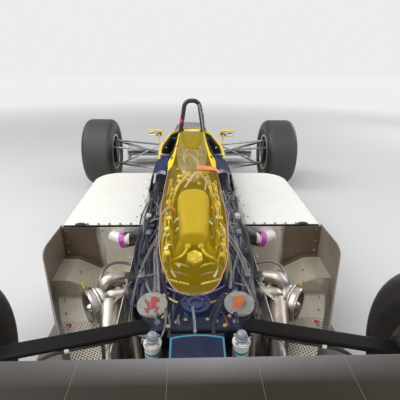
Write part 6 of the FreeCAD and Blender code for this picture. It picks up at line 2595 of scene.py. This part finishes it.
    def hoop(self) -> None:
        """Red tape on the hoop's left leg, and a grey line tied along the right one."""
        tape = BENCH.lathe(
            [(0.0132, -0.011), (0.0139, -0.01), (0.0139, 0.01), (0.0132, 0.011)],
            (self.hoop_x, 0.062, 0.856),
            (0, -0.149, 1),
            32,
        )
        BENCH.ship(tape, "hoop_tape", RED)
        route = [
            (-0.05, -0.04, 0.958), (-0.048, -0.052, 0.93), (-0.046, -0.07, 0.8), (-0.046, -0.09, 0.66),
            (-0.046, -0.102, 0.6),
        ]
        BENCH.tube(route, 0.0055, "hoop_line", GREY_HOSE)
        bands = []
        band = [(0.0132, -0.004), (0.0145, -0.003), (0.0145, 0.003), (0.0132, 0.004)]
        for z, y in ((0.92, 0.0525), (0.8, 0.0703), (0.68, 0.088)):
            bands.append(BENCH.lathe(band, (self.hoop_x, -y, z), (0, 0.149, 1), 24))
        BENCH.ship(BENCH.join(bands), "hoop_ties", HOSE)


@dataclass
class SuspensionDressing:
    """The front suspension's inner joints, brake lines and rockers."""

    joint_size: float = 0.011
    line_radius: float = 0.0035

    def dress(self) -> None:
        """Builds both sides."""
        for side, s in SIDES:
            joints = []
            for x, y, z in ((1.46, 0.158, 0.345), (1.02, 0.205, 0.35), (1.39, 0.17, 0.212), (0.92, 0.225, 0.238)):
                joints.append(((x, s * y, z), (0, s, 0)))
            BENCH.bolts(self.joint_size, joints, f"inner_joints_{side}", BOLT_STEEL)
            line = to_side(s, (1.0, 0.2, 0.36), (1.1, 0.4, 0.4), (1.2, 0.6, 0.435), (1.24, 0.66, 0.43))
            BENCH.tube(line, self.line_radius, f"brake_line_{side}", HOSE)
            rocker = BENCH.plate(
                to_side(s, (1.25, 0.158, 0.46), (1.25, 0.15, 0.52), (1.3, 0.15, 0.525), (1.32, 0.158, 0.47)),
                (0, s * 0.012, 0),
                0.002,
            )
            BENCH.ship(rocker, f"rocker_{side}", DARK_CAST)


@dataclass
class WheelDressing:
    """Valves, drive pins, lock pins and balance weights, which turn with their wheels."""

    # how far from the axle the valve, the pins and the weights stand
    valve_radius: float = 0.15
    pin_radius: float = 0.056
    weight_radius: float = 0.158

    def dress(self) -> None:
        """Builds all four wheels."""
        for axle, x in (("front", FRONT_AXLE), ("rear", REAR_AXLE)):
            for side, s in SIDES:
                stem, body = f"{axle}_{side}", f"{axle}_{side}_wheel"
                low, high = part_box(stem + "_rim")
                centre = Vector((x, (low.y + high.y) / 2, (low.z + high.z) / 2))
                outer = high.y if s > 0 else low.y
                valve = centre + Vector((0.0, 0.0, self.valve_radius))
                valve.y = outer - s * 0.004
                piece = BENCH.lathe(
                    [(0.0, 0.02), (0.003, 0.02), (0.003, 0.008), (0.0045, 0.007), (0.0045, -0.012)],
                    valve,
                    (0, s, -0.3),
                    12,
                )
                BENCH.ship(piece, stem + "_valve", GOLD, body)
                face = centre.y + s * (-0.01 if axle == "front" else -0.06) + s * 0.0202
                places = []
                for k in range(6):
                    t = math.tau * (k + 0.5) / 6
                    places.append(
                        (
                            (x + self.pin_radius * math.cos(t), face, centre.z + self.pin_radius * math.sin(t)),
                            (0, s, 0),
                        ),
                    )
                BENCH.bolts(0.006, places, stem + "_drive_pins", BOLT_STEEL, body)
                hub_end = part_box(stem + "_hub")
                tip = hub_end[1].y if s > 0 else hub_end[0].y
                pin = BENCH.pipe(
                    [
                        (x - 0.03, tip - s * 0.004, centre.z),
                        (x, tip + s * 0.001, centre.z),
                        (x + 0.03, tip - s * 0.004, centre.z),
                    ],
                    0.0022,
                )
                BENCH.ship(pin, stem + "_lock_pin", BOLT_STEEL, body)
                weights = []
                for k in range(3):
                    t, r = 2.2 + 0.09 * k, self.weight_radius
                    at = Vector((x + r * math.cos(t), outer - s * 0.03, centre.z + r * math.sin(t)))
                    weights.append(BENCH.chunk(at, (0.005, 0.009, 0.005), 0.0015))
                BENCH.ship(BENCH.join(weights), stem + "_balance_weights", STEEL, body)


# ---- cockpit --------------------------------------------------------------------------------------
@dataclass
class CockpitDressing:
    """The cushions, belts, dials, mirror glasses and controls."""

    voxel: float = 0.005
    pressure: float = 4.0
    frames: int = 20
    webbing: float = 0.0022
    dash_x: float = 0.7235
    # the steering wheel's middle, its grip's radius, and its column's slope in degrees
    wheel_centre: Triple = (0.485, 0.0, 0.505)
    grip_radius: float = 0.128
    wheel_tilt: float = 14.0

    def dress(self) -> None:
        """Builds the cockpit."""
        self.headrest()
        self.seat_pad()
        self.belts()
        self.dash()
        self.mirrors()
        self.wheel()

    def inflate(self, piece: Thing, limit: float) -> None:
        """Swells a cushion by a cloth simulation and keeps each point within a limit.

        Args:
            piece: The cushion, a closed mesh.
            limit: How far a point may move, in metres.
        """
        BENCH.hold(piece)
        piece.data.remesh_voxel_size = self.voxel
        bpy.ops.object.voxel_remesh()
        start = [v.co.copy() for v in piece.data.vertices]
        cloth = piece.modifiers.new("cloth", "CLOTH")
        cloth.settings.use_pressure = True
        cloth.settings.uniform_pressure_force = self.pressure
        cloth.settings.effector_weights.gravity = 0.0
        cloth.settings.quality = 5
        scene = bpy.context.scene
        for step in range(1, self.frames + 1):
            scene.frame_set(step)
        bpy.ops.object.modifier_apply(modifier=cloth.name)
        scene.frame_set(1)
        for vertex, rest in zip(piece.data.vertices, start):
            move = vertex.co - rest
            if move.length > limit:
                vertex.co = rest + move.normalized() * limit
        smooth = piece.modifiers.new("smooth", "SMOOTH")
        smooth.factor = 0.5
        smooth.iterations = 4
        bpy.ops.object.modifier_apply(modifier=smooth.name)
        rounded = piece.modifiers.new("rounded", "SUBSURF")
        rounded.levels = rounded.render_levels = 1
        bpy.ops.object.modifier_apply(modifier=rounded.name)

    def headrest(self) -> None:
        """The padded white headrest, with a piped seam, on its post."""
        low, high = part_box("headrest")
        pad_low = Vector((low.x + 0.003, low.y + 0.003, 0.642))
        pad = BENCH.block(pad_low, high - Vector((0.003, 0.003, 0.003)), 0.014, 4)
        self.inflate(pad, 0.006)
        BENCH.ship(pad, "headrest_pad", PAD_COVER, angle=80)
        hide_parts("headrest")
        post = BENCH.block((low.x + 0.004, -0.04, 0.585), (low.x + 0.03, 0.04, 0.66), 0.004)
        BENCH.ship(post, "headrest_post", CARBON)
        x, y0, y1, z0, z1 = high.x - 0.008, low.y + 0.004, high.y - 0.004, 0.648, high.z - 0.006
        seam = [
            (x, 0, z1), (x, y1 - 0.012, z1), (x, y1, z1 - 0.012), (x, y1, z0 + 0.012), (x, y1 - 0.012, z0), (x, 0, z0)
        ]
        seam += [(x, y0 + 0.012, z0), (x, y0, z0 + 0.012), (x, y0, z1 - 0.012), (x, y0 + 0.012, z1), (x, 0, z1)]
        BENCH.ship(BENCH.pipe(seam, 0.0022, sides=2), "headrest_piping", SEAT_CLOTH)

    def seat_pad(self) -> None:
        """The cushions on the moulded seat: one for the back and one for the base."""
        back = BENCH.plate(
            [(0.128, -0.12, 0.44), (0.148, -0.12, 0.448), (0.268, -0.12, 0.205), (0.248, -0.12, 0.197)],
            (0, 0.24, 0),
            0.006,
        )
        self.inflate(back, 0.008)
        BENCH.ship(back, "back_pad", SEAT_CLOTH, angle=80)
        base = BENCH.plate(
            [(0.31, -0.12, 0.118), (0.318, -0.12, 0.138), (0.5, -0.12, 0.148), (0.5, -0.12, 0.128)],
            (0, 0.24, 0),
            0.006,
        )
        self.inflate(base, 0.008)
        BENCH.ship(base, "base_pad", SEAT_CLOTH, angle=80)

    def belts(self) -> None:
        """The shoulder and lap belts, flat webbing laid over the cushions, with a buckle."""
        for side, s in SIDES:
            chain = [
                (0.075, 0.075, 0.586), (0.1, 0.078, 0.56), (0.135, 0.08, 0.492), (0.17, 0.078, 0.43),
                (0.225, 0.068, 0.33), (0.275, 0.05, 0.235), (0.31, 0.03, 0.175),
            ]
            strap = BENCH.strip([(x, s * (y - 0.02), z) for x, y, z in chain], (0.0, s * 0.042, 0.0), self.webbing)
            BENCH.ship(strap, f"shoulder_belt_{side}", WEBBING, angle=60)
            line = ((0.29, 0.125, 0.15), (0.3, 0.09, 0.163), (0.315, 0.03, 0.17))
            lap = BENCH.strip([(x, s * y, z) for x, y, z in line], (0.038, 0.0, -0.012), self.webbing)
            BENCH.ship(lap, f"lap_belt_{side}", WEBBING, angle=60)
        buckle = BENCH.lathe(
            [(0.0, 0.012), (0.018, 0.012), (0.024, 0.009), (0.028, 0.006), (0.03, 0.0)],
            (0.322, 0.0, 0.17),
            (0.3, 0, 1),
            32,
        )
        BENCH.ship(buckle, "belt_buckle", BOLT_STEEL)

    def dash(self) -> None:
        """The dashboard's dials and switches on the bulkhead behind the wheel, and the gear lever."""
        x = self.dash_x
        dials = ((0.0, 0.545, 0.036), (0.075, 0.53, 0.024), (-0.075, 0.53, 0.024))
        for i, (y, z, radius) in enumerate(dials):
            bezel = BENCH.lathe(
                [(radius - 0.002, 0.0), (radius - 0.002, 0.012), (radius + 0.003, 0.014), (radius + 0.005, 0.0)],
                (x, y, z),
                (-1, 0, 0),
            )
            BENCH.ship(bezel, f"dial_bezel_{i}", BOLT_STEEL)
            face = BENCH.lathe(
                [(0.0, 0.006), (radius * 0.5, 0.0055), (radius - 0.001, 0.005), (radius - 0.001, 0.0)],
                (x, y, z),
                (-1, 0, 0),
            )
            BENCH.ship(face, f"dial_face_{i}", DIAL)
            needle = BENCH.block((x - 0.0085, y - 0.0012, z), (x - 0.007, y + 0.0012, z + radius * 0.75), 0.0004, 1)
            BENCH.ship(needle, f"dial_needle_{i}", ORANGE)
        knobs = [((x, -0.12 + 0.03 * i, 0.487), (-1, 0, 0)) for i in range(9) if abs(-0.12 + 0.03 * i) > 0.035]
        BENCH.bolts(0.006, knobs, "dash_switches", HOSE)
        lever = [(0.55, -0.17, 0.4), (0.54, -0.165, 0.44), (0.53, -0.158, 0.48)]
        BENCH.tube(lever, 0.005, "gear_lever", STEEL)
        knob = BENCH.lathe(
            [(0.0, 0.028), (0.009, 0.025), (0.013, 0.015), (0.011, 0.004), (0.006, 0.0)],
            (0.53, -0.158, 0.478),
            (-0.1, 0.1, 1),
            20,
        )
        BENCH.ship(knob, "gear_knob", HOSE)

    def mirrors(self) -> None:
        """The silvered glass in each mirror housing."""
        for side, s in SIDES:
            glass = BENCH.block((0.4265, s * 0.275 - 0.0455, 0.6705), (0.4305, s * 0.275 + 0.0455, 0.7015), 0.0012)
            BENCH.ship(glass, f"mirror_glass_{side}", SILVERED)

    def wheel(self) -> None:
        """The steering wheel's hub pad, buttons and grip seams."""
        tilt = math.radians(self.wheel_tilt)
        axis = Vector((-math.cos(tilt), 0.0, math.sin(tilt)))
        up = Vector((math.sin(tilt), 0.0, math.cos(tilt)))
        centre = Vector(self.wheel_centre)
        pad = BENCH.lathe(
            [(0.0, 0.018), (0.02, 0.018), (0.027, 0.014), (0.03, 0.008), (0.03, 0.0)],
            centre + axis * 0.0085,
            axis,
            32,
        )
        BENCH.ship(pad, "wheel_pad", HOSE, "steering_wheel")
        buttons = [
            (centre + axis * 0.0265 + Vector((0.0, 0.014 * math.cos(t), 0.0)) + up * 0.014 * math.sin(t), axis)
            for t in (0.5, 2.6, 4.7)
        ]
        BENCH.bolts(0.004, buttons, "wheel_buttons", RED, "steering_wheel")
        bands = []
        for turn in (0.4, 1.2, 1.94, 2.74, 3.9, 5.5):
            r = self.grip_radius
            at = centre + Vector((0.0, r * math.cos(turn), 0.0)) + up * r * math.sin(turn)
            way = Vector((0.0, -math.sin(turn), 0.0)) + up * math.cos(turn)
            bands.append(
                BENCH.lathe([(0.0121, -0.003), (0.0128, -0.002), (0.0128, 0.002), (0.0121, 0.003)], at, way, 20)
            )
        BENCH.ship(BENCH.join(bands), "wheel_grip_bands", WEBBING, "steering_wheel")


# ---- studio ---------------------------------------------------------------------------------------
@dataclass
class Studio:
    """The camera, the floor, the lamps and the pale surroundings."""

    place: Triple = (-2.1719, 0.0255, 1.2025)
    yaw: float = -2.182
    pitch: float = 22.25
    roll: float = 0.696
    lens: float = 30.635
    floor_size: float = 60.0
    # name, place, size, watts
    lamps: tuple[tuple[str, Triple, float, float], ...] = (
        ("key", (0.4, 3.8, 4.2), 3.4, 130.0),
        ("fill", (-1.0, -4.4, 3.4), 4.0, 90.0),
        ("top", (-1.2, 1.2, 4.4), 2.6, 50.0),
        ("back", (-4.4, 2.6, 3.4), 3.0, 95.0),
        ("nose", (4.2, -4.6, 2.4), 2.6, 60.0),
    )

    def build(self) -> None:
        """Sets up the whole studio."""
        self.camera()
        self.floor()
        self.lights()
        self.surroundings()
        bpy.context.scene.view_settings.view_transform = "Standard"

    def camera(self) -> None:
        """Adds the camera behind and above the car, looking over its rear wing."""
        yaw, pitch, roll = (math.radians(a) for a in (self.yaw, self.pitch, self.roll))
        look = Vector((math.cos(pitch) * math.cos(yaw), math.cos(pitch) * math.sin(yaw), -math.sin(pitch)))
        right = look.cross(Vector(UP)).normalized()
        above = right.cross(look)
        turned_right = right * math.cos(roll) + above * math.sin(roll)
        turned_up = above * math.cos(roll) - right * math.sin(roll)
        data = bpy.data.cameras.new("camera")
        data.sensor_width = 36.0
        data.lens = self.lens
        data.clip_start = 0.02
        camera = bpy.data.objects.new("camera", data)
        bpy.context.scene.collection.objects.link(camera)
        columns = Matrix((turned_right, turned_up, -look)).transposed().to_4x4()
        camera.matrix_world = Matrix.Translation(Vector(self.place)) @ columns
        bpy.context.scene.camera = camera

    def floor(self) -> None:
        """Adds the plain pale floor."""
        BENCH.start()
        bpy.ops.mesh.primitive_plane_add(size=self.floor_size, location=ORIGIN)
        floor = bpy.context.object
        floor.name = "studio_floor"
        floor.data.materials.append(FLOOR.material())

    def lights(self) -> None:
        """Adds the soft lamps, all aimed at the car's middle."""
        for name, place, size, watts in self.lamps:
            data = bpy.data.lights.new(name, "AREA")
            data.shape = "DISK"
            data.size = size
            data.energy = watts
            lamp = bpy.data.objects.new(name, data)
            bpy.context.scene.collection.objects.link(lamp)
            aim = (Vector((0.0, 0.0, 0.3)) - Vector(place)).to_track_quat("-Z", "Y")
            lamp.matrix_world = Matrix.Translation(Vector(place)) @ aim.to_matrix().to_4x4()

    @staticmethod
    def surroundings() -> None:
        """Fills the world with plain light, and with a paler tone where it is seen or mirrored."""
        world = bpy.data.worlds.new("surroundings")
        bpy.context.scene.world = world
        world.use_nodes = True
        graph = Graph(world.node_tree)
        background = world.node_tree.nodes["Background"]
        path = graph.add("LightPath")
        seen = graph.math("MAXIMUM", path.outputs["Is Camera Ray"], path.outputs["Is Transmission Ray"])
        mirrored_tone = graph.mix(path.outputs["Is Glossy Ray"], (0.4, 0.405, 0.42), (0.62, 0.62, 0.63))
        graph.feed(background.inputs["Color"], graph.mix(seen, mirrored_tone, (0.84, 0.84, 0.85)))
        background.inputs["Strength"].default_value = 1.0


def main() -> None:
    """Builds the studio and dresses each sub-assembly in turn."""
    logging.basicConfig(level=logging.INFO, format="%(message)s")
    Studio().build()
    assemblies: tuple[object, ...] = (
        BodyFinishes(),
        EngineDressing(),
        TailDressing(),
        BayDressing(),
        TrimDressing(),
        SuspensionDressing(),
        WheelDressing(),
        CockpitDressing(),
    )
    for assembly in assemblies:
        before = BENCH.count
        assembly.dress()
        LOG.info("%s: %d pieces", type(assembly).__name__, BENCH.count - before)
    BENCH.start()


if __name__ == "__main__":
    main()
